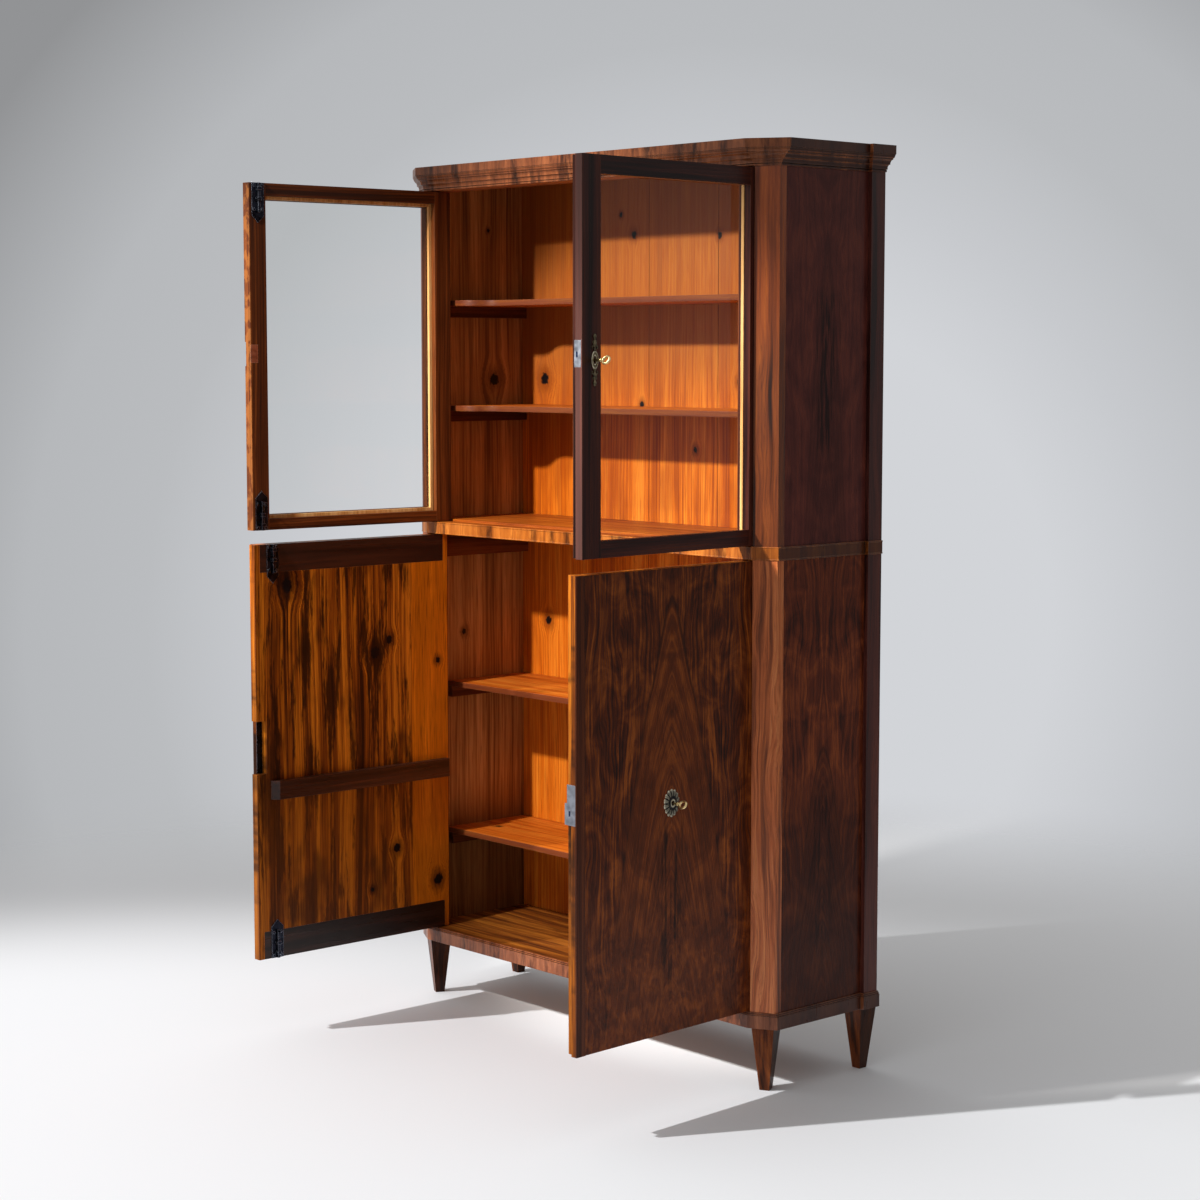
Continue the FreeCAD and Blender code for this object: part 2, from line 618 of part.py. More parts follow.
def lock(tier):
    """Lock case with its edge plate, open on the side that faces the wood."""
    name = f"{tier}_lock"
    plate, case = lock_ranges(tier)
    bar_y = (f"{tier}_bar_y", f"{tier}_bar_y + lock_bar_thickness")
    bar_z = (f"{tier}_bar_low", f"{tier}_bar_high")
    body = fuse(name + "_body", block(name + "_plate", *plate), block(name + "_box", *case))
    hollow = block(name + "_hollow", (f"{case[0][0]} + lock_case_wall", f"{case[0][1]} - lock_case_wall"),
                   (f"{case[1][0]} - overrun", f"{case[1][1]} - lock_case_wall"),
                   (f"{case[2][0]} + lock_case_wall", f"{case[2][1]} - lock_case_wall"))
    slot = block(name + "_slot", ("-lap - overrun", f"{case[0][0]} + lock_case_wall + overrun"),
                 grown(bar_y, "lock_play"), grown(bar_z, "lock_play"))
    hang(f"{tier}_lock_case", cut(name + "_shell", body, hollow, slot), tier, 1)
    lug_x = f"{tier}_key_x - key_bit_width / 2 - lock_lug_gap"
    bar = block(name + "_bar", ("-lap", lug_x), bar_y, bar_z)
    lug = block(name + "_lug", (f"{lug_x} - lock_lug", lug_x), bar_y,
                (f"{tier}_key_height - key_bit_reach + lock_lug_rise", f"{tier}_bar_low"))
    hang(f"{tier}_lock_bolt", fuse(name + "_bar_and_lug", bar, lug), tier, 1)


def key(tier):
    name = f"{tier}_key"
    x, z = f"{tier}_key_x", f"{tier}_key_height"
    outer = "case_front - key_out"
    inner = f"{tier}_case_back - lock_case_wall - key_end_gap"
    shank = cylinder(name + "_shank", x, outer, z, "key_shank", f"{inner} - ({outer})", ALONG_Y)
    collar = cylinder(name + "_collar", x, f"{outer} + key_collar", z, "key_shank + key_collar_step",
                      "key_collar", ALONG_Y)
    bit_y = f"{tier}_bar_y + lock_bar_thickness / 2"
    bit = block(name + "_bit", (f"{x} - key_bit_width / 2", f"{x} + key_bit_width / 2"),
                (f"{bit_y} - key_bit_depth / 2", f"{bit_y} + key_bit_depth / 2"), (f"{z} - key_bit_reach", z))
    ring = doc.addObject("Part::Torus", name + "_ring")
    ring.Placement = FreeCAD.Placement(FreeCAD.Vector(), FreeCAD.Rotation(FreeCAD.Vector(0, 1, 0), 90))
    bind(ring, "Radius1", "key_ring")
    bind(ring, "Radius2", "key_ring_wire")
    place(ring, x, f"{outer} - key_ring", z)
    hang(name, fuse(name + "_whole", shank, collar, bit, ring), tier, 1)


def escutcheon():
    """Long brass plate with a lobe at each end."""
    x, z = "upper_key_x", "upper_key_height"
    shoulder = "escutcheon_height / 4"
    neck = "escutcheon_height / 2 - escutcheon_lobe"
    tip = "escutcheon_height / 2"
    wide, narrow = "escutcheon_width / 2", "escutcheon_waist / 2"
    right = [(wide, f"-({shoulder})"), (wide, shoulder), (narrow, neck), ("0", tip)]
    left = [(f"-({narrow})", neck), (f"-({wide})", shoulder), (f"-({wide})", f"-({shoulder})"),
            (f"-({narrow})", f"-({neck})"), ("0", f"-({tip})"), (narrow, f"-({neck})")]
    points = [(f"{x} + {px}", f"{z} + {pz}") for px, pz in right + left]
    hollow = "escutcheon_hollow"
    centres = {1: hollow, 2: "0", 3: "0", 4: f"-({hollow})", 6: f"-({hollow})", 7: "0", 8: "0", 9: hollow}
    centres = {index: f"{x} + {centre}" for index, centre in centres.items()}
    plate = facing("escutcheon_plate", points, "case_front - escutcheon_thickness", "case_front", centres)
    depth = ("case_front - escutcheon_thickness - overrun", "case_front + overrun")
    hole = cylinder("escutcheon_hole", x, depth[0], z, "key_shank + key_hole_play",
                    "escutcheon_thickness + 2 * overrun", ALONG_Y)
    slot = block("escutcheon_slot", (f"{x} - key_bit_width / 2", f"{x} + key_bit_width / 2"), depth,
                 (f"{z} - key_bit_reach - key_hole_play", z))
    hang("upper_escutcheon", cut("escutcheon_cut", plate, hole, slot), "upper", 1)


def rosette():
    """Oval domed brass rosette."""
    x, z = "lower_key_x", "lower_key_height"
    dome = doc.addObject("Part::Ellipsoid", "rosette_dome_whole")
    bind(dome, "Radius1", "rosette_height / 2")
    bind(dome, "Radius2", "rosette_width / 2")
    bind(dome, "Radius3", "rosette_dome")
    place(dome, x, "case_front", z)
    behind = block("rosette_behind", (f"{x} - rosette_width", f"{x} + rosette_width"),
                   ("case_front", "case_front + 2 * rosette_dome"),
                   (f"{z} - rosette_height", f"{z} + rosette_height"))
    hole = cylinder("rosette_hole", x, "case_front - 2 * rosette_dome", z, "key_shank + key_hole_play",
                    "2 * rosette_dome", ALONG_Y)
    hang("lower_rosette", cut("rosette_cut", dome, behind, hole), "lower", 1)


# Upper doors: glazed frames
def upper_door(hand, side):
    name = f"upper_{hand}"
    tall = ("upper_bottom", "upper_top")
    front_layer = ("case_front", "upper_lip_back")
    back_layer = ("upper_lip_back", "upper_inner")
    sight = f"sight_{hand}"
    opening = (sight, "sight_hinge")
    rebated = (f"{sight} - glass_rebate", "sight_hinge + glass_rebate")

    stile_plan = [("sight_hinge", "case_front"), ("upper_pivot", "case_front"),
                  ("upper_pivot + upper_half", "upper_axis"), ("upper_pivot + upper_half", "upper_inner"),
                  (rebated[1], "upper_inner"), (rebated[1], "upper_lip_back"),
                  ("sight_hinge", "upper_lip_back")]
    stile = plan(name + "_hinge_plank", stile_plan, *tall, side, {1: "upper_pivot"})
    stile = cut(name + "_hinge_cut", stile, *pivot_pockets(name, "upper", side))
    hang(name + "_hinge_stile", stile, "upper", side)

    if side > 0:
        layers = [block(name + "_lip", ("-lap", sight), front_layer, tall),
                  block(name + "_inner", ("upper_tongue + lap_gap", rebated[0]), back_layer, tall),
                  block(name + "_strip", ("-lap", "meeting_strip - lap"),
                        ("case_front - strip_proud", "case_front"), tall)]
        losses = lock_mortise(name, "upper")
    else:
        tongue = (f"{back_layer[0]} + lap_depth_gap", back_layer[1])
        layers = [block(name + "_outer", ("lap + lap_gap", sight), front_layer, tall, side),
                  block(name + "_inner", ("lap + lap_gap", rebated[0]), back_layer, tall, side),
                  block(name + "_tongue", ("-upper_tongue", "lap + lap_gap"), tongue, tall, side)]
        losses = [block(name + "_plate_notch", ("-lap - lap_gap", "upper_tongue + overrun"),
                        ("upper_lip_back", "upper_plate_back + lock_mortise_play"),
                        grown(lock_ranges("upper")[0][2], "lock_mortise_play")),
                  block(name + "_bolt_mortise", ("-lap - lock_throw - lock_mortise_end", "-lap"),
                        grown(("upper_bar_y", "upper_bar_y + lock_bar_thickness"), "lock_mortise_play"),
                        grown(("upper_bar_low", "upper_bar_high"), "lock_mortise_play")),
                  upper_strike(name + "_strike_pocket")]
    stile = cut(name + "_free_cut", fuse(name + "_free_plank", *layers), *losses)
    hang(name + "_free_stile", stile, "upper", side)

    rails = (("top_rail", ("sight_high", "upper_top"), ("sight_high + glass_rebate", "upper_top")),
             ("bottom_rail", ("upper_bottom", "sight_low"), ("upper_bottom", "sight_low - glass_rebate")))
    for rail, front_z, back_z in rails:
        pieces = [block(f"{name}_{rail}_front", opening, front_layer, front_z, side),
                  block(f"{name}_{rail}_back", rebated, back_layer, back_z, side)]
        hang(f"{name}_{rail}", fuse(f"{name}_{rail}_plank", *pieces), "upper", side)

    pane_x = (f"{rebated[0]} + glass_gap", f"{rebated[1]} - glass_gap")
    pane_z = ("sight_low - glass_rebate + glass_gap", "sight_high + glass_rebate - glass_gap")
    pane_y = ("upper_lip_back", "upper_lip_back + glass_thickness")
    hang(name + "_glass", block(name + "_pane", pane_x, pane_y, pane_z, side), "upper", side)

    bead_y = (pane_y[1], f"{pane_y[1]} + glazing_bead")
    bead_z = ("sight_low - glass_rebate", "sight_high + glass_rebate")
    between = (f"{rebated[0]} + glazing_bead", f"{rebated[1]} - glazing_bead")
    beads = [block(name + "_bead_free", (rebated[0], f"{rebated[0]} + glazing_bead"), bead_y, bead_z, side),
             block(name + "_bead_hinge", (f"{rebated[1]} - glazing_bead", rebated[1]), bead_y, bead_z, side),
             block(name + "_bead_low", between, bead_y, (bead_z[0], f"{bead_z[0]} + glazing_bead"), side),
             block(name + "_bead_high", between, bead_y, (f"{bead_z[1]} - glazing_bead", bead_z[1]), side)]
    hang(name + "_glazing_beads", group(name + "_bead_set", *beads), "upper", side)
    pivots("upper", hand, side)


def upper_strike(name):
    middle = "upper_key_height + strike_offset"
    return block(name, ("upper_tongue - strike_width", "upper_tongue"),
                 ("upper_inner - strike_thickness", "upper_inner"),
                 (f"{middle} - strike_height / 2", f"{middle} + strike_height / 2"))


# Lower doors: board panels with clamps and a ledge inside
derived["lower_tongue_front"] = "lower_lip_back + lap_depth_gap"
derived["lower_recess_high"] = "lower_recess_low + lower_recess_height"


def clamp(name, edge, end, side):
    level = {"top": ("lower_top - clamp_height", "lower_top"),
             "bottom": ("lower_bottom", "lower_bottom + clamp_height")}
    return block(f"{name}_{end}", (f"{edge} + edge_band", "lower_edge - edge_band"),
                 ("lower_inner - clamp_depth", "lower_inner"), level[end], side)


def lower_door(hand, side):
    name = f"lower_{hand}"
    hinge_side = [("lower_pivot", "case_front"), ("lower_edge", "lower_axis"), ("lower_edge", "lower_inner")]
    if side > 0:
        edge = "lower_tongue + lap_gap"
        panel = [("-lap", "case_front"), *hinge_side, (edge, "lower_inner"), (edge, "lower_lip_back"),
                 ("-lap", "lower_lip_back")]
        losses = lock_mortise(name, "lower")
    else:
        edge = "-lower_tongue"
        panel = [("lap + lap_gap", "case_front"), *hinge_side, (edge, "lower_inner"),
                 (edge, "lower_tongue_front"), ("lap + lap_gap", "lower_tongue_front")]
        losses = [block(name + "_recess", ("lower_tongue - lower_recess_width", "lower_tongue + overrun"),
                        ("lower_tongue_front", "lower_inner + overrun"),
                        ("lower_recess_low", "lower_recess_high"))]
    ends = ("top", "bottom")
    losses += [clamp(name + "_clamp_cut", edge, end, side) for end in ends]
    losses += pivot_pockets(name, "lower", side)
    board = plan(name + "_board", panel, "lower_bottom", "lower_top", side, {1: "lower_pivot"})
    if side > 0:
        strip = block(name + "_strip", ("-lap", "meeting_strip - lap"),
                      ("case_front - strip_proud", "case_front"), ("lower_bottom", "lower_top"))
        board = fuse(name + "_board_and_strip", board, strip)
    hang(name + "_panel", cut(name + "_panel_cut", board, *losses), "lower", side)

    ledge_plan = [(f"{edge} + ledge_end", "lower_inner"),
                  (f"{edge} + ledge_end + ledge_proud", "lower_inner + ledge_proud"),
                  ("lower_edge - ledge_hinge_end", "lower_inner + ledge_proud"),
                  ("lower_edge - ledge_hinge_end", "lower_inner")]
    battens = [clamp(name + "_clamp", edge, end, side) for end in ends]
    battens.append(plan(name + "_ledge", ledge_plan, "ledge_low", "ledge_low + ledge_height", side))
    hang(name + "_battens", group(name + "_batten_set", *battens), "lower", side)
    pivots("lower", hand, side)


# Surface bolts inside the left doors
def bolt(tier, end):
    """Plate with two staples, its screws, and the bar with its knob."""
    name = f"{tier}_{end}_bolt"
    x, y = f"{tier}_bolt_x", f"{tier}_bolt_y"
    inner = f"{tier}_inner"
    face = f"{inner} + bolt_plate_thickness"
    edge = LEVELS[tier, end][0]
    sign = "-" if end == "top" else "+"

    def level(start, finish):
        near, far = f"{edge} {sign} ({start})", f"{edge} {sign} ({finish})"
        return (far, near) if end == "top" else (near, far)

    half = "bolt_plate_width / 2"
    shoulder = f"{edge} {sign} (bolt_plate_length - bolt_plate_width / 2)"
    tip = f"{edge} {sign} bolt_plate_length"
    points = [(f"{x} - {half}", edge), (f"{x} + {half}", edge), (f"{x} + {half}", shoulder),
              (x, tip), (f"{x} - {half}", shoulder)]
    plate = facing(name + "_sheet", points, inner, face)
    reach = "bolt_bar / 2 + bolt_play + bolt_staple_wall"
    staples = [block(f"{name}_{place_of}", (f"{x} - ({reach})", f"{x} + ({reach})"), (face, f"{y} + {reach}"),
                     level(f"bolt_{place_of}", f"bolt_{place_of} + bolt_staple"))
               for place_of in ("near_staple", "far_staple")]
    channel = block(name + "_channel", (f"{x} - bolt_bar / 2 - bolt_play", f"{x} + bolt_bar / 2 + bolt_play"),
                    (face, f"{y} + bolt_bar / 2 + bolt_play"),
                    level("-overrun", "bolt_plate_length + overrun"))
    pieces = [cut(name + "_plate", fuse(name + "_plate_whole", plate, *staples), channel)]
    for start in ("screw_edge", "bolt_far_screws"):
        for hand, across in (("left", -1), ("right", 1)):
            pieces.append(cylinder(f"{name}_{start}_{hand}", f"{x} + {across} * ({half} - screw_edge)",
                                   face, f"{edge} {sign} {start}", "screw_head_radius",
                                   "screw_head_height", ALONG_Y))
    bar = block(name + "_bar", (f"{x} - bolt_bar / 2", f"{x} + bolt_bar / 2"),
                (f"{y} - bolt_bar / 2", f"{y} + bolt_bar / 2"), level("0", "bolt_rod_length"))
    knob = cylinder(name + "_knob", x, y, f"{edge} {sign} (bolt_rod_length - bolt_knob_radius)",
                    "bolt_knob_radius / 2", "bolt_bar / 2 + bolt_knob_length", ALONG_Y)
    hang(f"{tier}_{end}_bolt_rod", fuse(name + "_bar_and_knob", bar, knob), tier, -1)
    return pieces


for hand, side in (("left", -1), ("right", 1)):
    upper_door(hand, side)
    lower_door(hand, side)
for tier in ("upper", "lower"):
    lock(tier)
    key(tier)
    fittings = bolt(tier, "top") + bolt(tier, "bottom")
    hang(f"{tier}_bolt_plates", group(f"{tier}_bolt_plate_set", *fittings), tier, -1)
escutcheon()
rosette()
hang("upper_strike", upper_strike("upper_strike_plate"), "upper", -1)
hang("lower_strike", block("lower_strike_plate", ("lower_tongue - lower_recess_width", "-lap - lap_gap"),
                           ("lower_tongue_front", "lower_tongue_front + strike_thickness"),
                           ("lower_recess_low", "lower_recess_high")), "lower", -1)

doc.recompute()
for thing in doc.Objects:
    if "Invalid" in thing.State or "Error" in thing.State:
        raise RuntimeError(f"{thing.Name} did not build: {thing.State}")
os.makedirs("parts", exist_ok=True)
for thing in nodes:
    if thing.Shape.isNull() or not thing.Shape.isValid():
        raise RuntimeError(f"{thing.Label} has no sound shape")
    thing.Shape.exportStep(f"parts/{thing.Label}.step")
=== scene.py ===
import json
import math
from collections import namedtuple

import bpy
from mathutils import Matrix, Vector


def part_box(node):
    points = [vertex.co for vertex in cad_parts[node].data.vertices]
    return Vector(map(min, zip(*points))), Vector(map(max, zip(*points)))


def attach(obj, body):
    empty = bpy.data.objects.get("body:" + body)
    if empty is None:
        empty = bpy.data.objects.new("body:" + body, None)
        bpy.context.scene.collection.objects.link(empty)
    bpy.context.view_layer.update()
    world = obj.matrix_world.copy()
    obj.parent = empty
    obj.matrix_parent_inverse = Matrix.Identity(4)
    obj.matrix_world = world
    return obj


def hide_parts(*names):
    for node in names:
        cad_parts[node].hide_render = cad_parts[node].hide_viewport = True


# Looks of the display cabinet: woods, metals and glass, brass fittings, floor, lamps and camera.

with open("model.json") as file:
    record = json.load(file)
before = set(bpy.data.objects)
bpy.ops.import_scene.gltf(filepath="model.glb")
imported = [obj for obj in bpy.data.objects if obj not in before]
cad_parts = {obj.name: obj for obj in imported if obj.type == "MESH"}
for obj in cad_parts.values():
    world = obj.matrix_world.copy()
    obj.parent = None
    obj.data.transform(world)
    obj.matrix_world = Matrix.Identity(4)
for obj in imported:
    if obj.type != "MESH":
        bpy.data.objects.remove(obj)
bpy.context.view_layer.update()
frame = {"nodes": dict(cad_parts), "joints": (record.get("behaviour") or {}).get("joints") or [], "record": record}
nodes = frame["nodes"]
scene = bpy.context.scene


def corners(name):
    """Lowest and highest corner of a CAD piece."""
    low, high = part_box(name)
    return Vector(low), Vector(high)


# Sizes of the case, read from the frame, in metres
side_low, side_high = corners("side_panel_right")
belt_low, belt_high = corners("belt_moulding")
WALL = side_low.x
TOP = side_high.z
BELT_LOW = belt_low.z
BELT_HIGH = belt_high.z
BACK_FRONT = corners("back_boards")[0].y
SIDE_MIDDLE = (side_low.y + corners("rear_pilaster_right")[0].y) / 2


def levels(*values):
    """A colour given in screen levels, 0 to 255, as linear light."""
    parts = [value / 255 for value in values]
    return [p / 12.92 if p <= 0.04045 else ((p + 0.055) / 1.055) ** 2.4 for p in parts]


def tones(*colours):
    return [levels(*colour) for colour in colours]


def dimmed(colour, share):
    return [value * share for value in colour]


# Shader arithmetic: a Signal is a socket that can be added, scaled and shaped.
class Signal:
    def __init__(self, tree, socket):
        self.tree = tree
        self.socket = socket

    def node(self, kind, **settings):
        made = self.tree.nodes.new(kind)
        for name, value in settings.items():
            setattr(made, name, value)
        return made

    def feed(self, socket, value):
        if isinstance(value, Signal):
            self.tree.links.new(value.socket, socket)
        else:
            socket.default_value = value

    def math(self, operation, *others):
        made = self.node("ShaderNodeMath", operation=operation)
        for socket, value in zip(made.inputs, (self,) + others):
            self.feed(socket, value)
        return Signal(self.tree, made.outputs[0])

    def __add__(self, other):
        return self.math("ADD", other)

    def __sub__(self, other):
        return self.math("SUBTRACT", other)

    def __mul__(self, other):
        return self.math("MULTIPLY", other)

    def size(self):
        return self.math("ABSOLUTE")

    def power(self, exponent):
        return self.math("POWER", exponent)

    def most(self, other):
        return self.math("MAXIMUM", other)

    def spread(self, low, high, start=0.0, end=1.0):
        """Smooth step from start at low to end at high."""
        made = self.node("ShaderNodeMapRange", interpolation_type="SMOOTHSTEP")
        for socket, value in zip(made.inputs, (self, low, high, start, end)):
            self.feed(socket, value)
        return Signal(self.tree, made.outputs[0])

    def ramp(self, *stops):
        """Colour by value: stops are (place, colour)."""
        made = self.node("ShaderNodeValToRGB")
        steps = made.color_ramp.elements
        while len(steps) < len(stops):
            steps.new(1.0)
        for step, (place, colour) in zip(steps, stops):
            step.position = place
            step.color = (*colour, 1.0)
        self.feed(made.inputs[0], self)
        return Signal(self.tree, made.outputs[0])

    def mixed(self, first, second):
        """Colour first where this is 0 and second where it is 1."""
        made = self.node("ShaderNodeMix", data_type="RGBA", clamp_factor=True)
        self.feed(made.inputs[0], self)
        for socket, value in zip(made.inputs[6:8], (first, second)):
            self.feed(socket, value if isinstance(value, Signal) else (*value, 1.0))
        return Signal(self.tree, made.outputs[2])

    def between(self, first, second):
        """Number first where this is 0 and second where it is 1."""
        made = self.node("ShaderNodeMix", data_type="FLOAT", clamp_factor=True)
        sockets = (made.inputs[0], made.inputs[2], made.inputs[3])
        for socket, value in zip(sockets, (self, first, second)):
            self.feed(socket, value)
        return Signal(self.tree, made.outputs[0])


# How a door hangs: its open angle, its pivot, and its side of the case (1 right, -1 left)
Hinge = namedtuple("Hinge", "angle pivot side")


def hinge_of(door):
    joint = next(joint for joint in frame["joints"] if joint["child"] == door)
    side = joint["axis"][2]
    return Hinge(math.radians(-joint["range_deg"][0]) * side, Vector(joint["pos_m"]), side)


def closed_box(name, door):
    """A door piece's lowest and highest corner with the door closed, from its pivot."""
    hinge = hinge_of(door)
    back = Matrix.Rotation(-hinge.angle, 3, "Z")
    spots = [back @ (vertex.co - hinge.pivot) for vertex in nodes[name].data.vertices]
    low = Vector([min(spot[axis] for spot in spots) for axis in range(3)])
    high = Vector([max(spot[axis] for spot in spots) for axis in range(3)])
    return low, high


# What a surface shows: its colour, its roughness and the height of its grain
Look = namedtuple("Look", "colour rough height")


def layered(mask, first, second):
    return Look(mask.mixed(first.colour, second.colour), mask.between(first.rough, second.rough),
                mask.between(first.height, second.height))


def washed(look, mask, wash):
    """The look with one more colour on it where the mask is 1."""
    return look._replace(colour=mask.mixed(look.colour, wash))


class Paint:
    """A material with its coordinates in metres: the frame's, or a closed door's from its pivot."""

    def __init__(self, name, door=None):
        self.material = bpy.data.materials.new(name)
        self.material.use_nodes = True
        self.tree = self.material.node_tree
        self.tree.nodes.clear()
        self.out = self.add("ShaderNodeOutputMaterial")
        spot = self.add("ShaderNodeTexCoord").outputs["Object"]
        if door:
            hinge = hinge_of(door)
            turn = self.add("ShaderNodeMapping")
            turn.inputs["Rotation"].default_value = (0, 0, -hinge.angle)
            turn.inputs["Location"].default_value = -(Matrix.Rotation(-hinge.angle, 3, "Z") @ hinge.pivot)
            self.join(spot, turn.inputs["Vector"])
            spot = turn.outputs["Vector"]
        parts = self.add("ShaderNodeSeparateXYZ")
        self.join(spot, parts.inputs[0])
        self.x, self.y, self.z = [self.signal(socket) for socket in parts.outputs]

    def add(self, kind):
        return self.tree.nodes.new(kind)

    def join(self, output, socket):
        self.tree.links.new(output, socket)

    def signal(self, output):
        return Signal(self.tree, output)

    def geometry(self, output):
        return self.add("ShaderNodeNewGeometry").outputs[output]

    def noise(self, x, y, z, detail=2.0, rough=0.55, twist=0.0):
        spot = self.add("ShaderNodeCombineXYZ")
        for socket, value in zip(spot.inputs, (x, y, z)):
            self.x.feed(socket, value)
        made = self.add("ShaderNodeTexNoise")
        self.join(spot.outputs[0], made.inputs["Vector"])
        made.inputs["Scale"].default_value = 1.0
        made.inputs["Detail"].default_value = detail
        made.inputs["Roughness"].default_value = rough
        made.inputs["Distortion"].default_value = twist
        return self.signal(made.outputs["Fac"])

    def rounded(self, radius):
        """The normal, as if the edges were rounded."""
        made = self.add("ShaderNodeBevel")
        made.samples = 3
        made.inputs["Radius"].default_value = radius
        return made.outputs[0]

    def edges(self, radius):
        """1 along edges, 0 on open faces."""
        turn = self.add("ShaderNodeVectorMath")
        turn.operation = "DOT_PRODUCT"
        self.join(self.rounded(radius), turn.inputs[0])
        self.join(self.geometry("Normal"), turn.inputs[1])
        return self.signal(turn.outputs["Value"]).spread(0.995, 0.8)

    def facing(self, axis):
        """1 on faces that look along the axis (0, 1 or 2), 0 on the others."""
        parts = self.add("ShaderNodeSeparateXYZ")
        self.join(self.geometry("Normal"), parts.inputs[0])
        return self.signal(parts.outputs[axis]).size().spread(0.6, 0.9)

    def raised(self, start, span=0.11):
        """1 on the ridges of a fine mesh, 0 where its pointiness (0.5 on a flat face) is below the start."""
        return self.signal(self.geometry("Pointiness")).spread(start, start + span)

    def hollows(self, reach):
        """1 in tight corners, 0 in the open."""
        made = self.add("ShaderNodeAmbientOcclusion")
        made.samples = 4
        made.only_local = True
        made.inputs["Distance"].default_value = reach
        return self.signal(made.outputs["AO"]).spread(0.9, 0.35)

    def finish(self, look, depth=0.0002, metal=0.0, shine=0.5, bevel=0.0012):
        shader = self.add("ShaderNodeBsdfPrincipled")
        self.x.feed(shader.inputs["Base Color"], look.colour)
        self.x.feed(shader.inputs["Roughness"], look.rough)
        shader.inputs["Metallic"].default_value = metal
        shader.inputs["Specular IOR Level"].default_value = shine
        bump = self.add("ShaderNodeBump")
        bump.inputs["Distance"].default_value = depth
        self.x.feed(bump.inputs["Height"], look.height)
        self.join(self.rounded(bevel), bump.inputs["Normal"])
        self.join(bump.outputs[0], shader.inputs["Normal"])
        self.join(shader.outputs[0], self.out.inputs["Surface"])
        return self.material

    def finish_mixed(self, share, first, second):
        """The first shader where the share is 0 and the second where it is 1."""
        mix = self.add("ShaderNodeMixShader")
        for socket, output in zip(mix.inputs, (share.socket, first.outputs[0], second.outputs[0])):
            self.join(output, socket)
        self.join(mix.outputs[0], self.out.inputs["Surface"])
        return self.material


def wear(material, *names):
    for name in names:
        nodes[name].data.materials.clear()
        nodes[name].data.materials.append(material)


# Woods. Across, along and third are the three directions of the grain, in metres.
def pine(paint, across, along, third, shades, knots=(), fine=150, seed=0.0, washes=()):
    """Softwood: lines along the grain that part round dark knots; shades run from dark to light."""
    bent = across
    marks = []
    if knots:
        ragged = paint.noise(across * 170, along * 130, third * 170 + seed).spread(0.3, 0.7, -0.2, 0.2)
    for spot_across, spot_along, radius in knots:
        wide = (across - spot_across) * (1 / radius)
        tall = (along - spot_along) * (0.85 / radius)
        reach = (wide * wide + tall * tall).math("SQRT") + ragged
        bent = bent - (across - spot_across) * reach.spread(0.8, 4.5, 0.85, 0.0)
        marks.append((reach.spread(1.0, 3.0, 0.6, 0.0), reach.spread(0.75, 1.1, 1.0, 0.0)))
    sway = paint.noise(across * 6, along * 1.3, third * 6 + seed, detail=1.0)
    bent = bent + sway * 0.03
    broad = paint.noise(bent * (fine / 6), along * 0.6, third * (fine / 6) + seed)
    lines = paint.noise(bent * fine, along * 2.5, third * fine + seed, detail=3.0, rough=0.6)
    pores = paint.noise(bent * (fine * 4), along * 14, third * (fine * 4) + seed, detail=1.0)
    dark, middle, light = shades
    colour = (broad * 0.5 + lines * 0.5).ramp((0.38, dark), (0.49, middle), (0.6, light))
    for mask, wash in washes:
        colour = mask.mixed(colour, wash)
    colour = pores.spread(0.54, 0.66, 0.0, 0.5).mixed(colour, dark)
    height = lines
    for stain, core in marks:
        colour = stain.mixed(colour, dimmed(dark, 0.6))
        colour = core.mixed(colour, levels(9, 5, 6))
        height = height - core * 0.4
    return Look(colour, lines.spread(0.3, 0.7, 0.5, 0.36), height)


def walnut(paint, across, along, third, shades, fine=160, sway=0.05, veins=0.75, seed=0.0):
    """Hardwood: swaying streaks, dark veins and short pores; shades run from dark to light."""
    drift = paint.noise(across * 9, along * 2.6, third * 9 + seed, detail=2.0)
    bent = across + drift * sway
    streak = paint.noise(bent * fine, along * 4, third * fine + seed, detail=4.0, rough=0.65)
    band = paint.noise(bent * (fine / 5), along * 1.2, third * (fine / 5) + seed, detail=2.0)
    pores = paint.noise(bent * (fine * 5), along * 24, third * (fine * 5), detail=1.0)
    dark, middle, light = shades
    colour = (streak * 0.5 + band * 0.5).ramp((0.37, dark), (0.5, middle), (0.63, light))
    colour = band.spread(0.47, 0.36, 0.0, veins).mixed(colour, dimmed(dark, 0.45))
    colour = pores.spread(0.58, 0.7, 0.0, 0.45).mixed(colour, dark)
    return Look(colour, streak.spread(0.3, 0.7, 0.36, 0.26), streak)


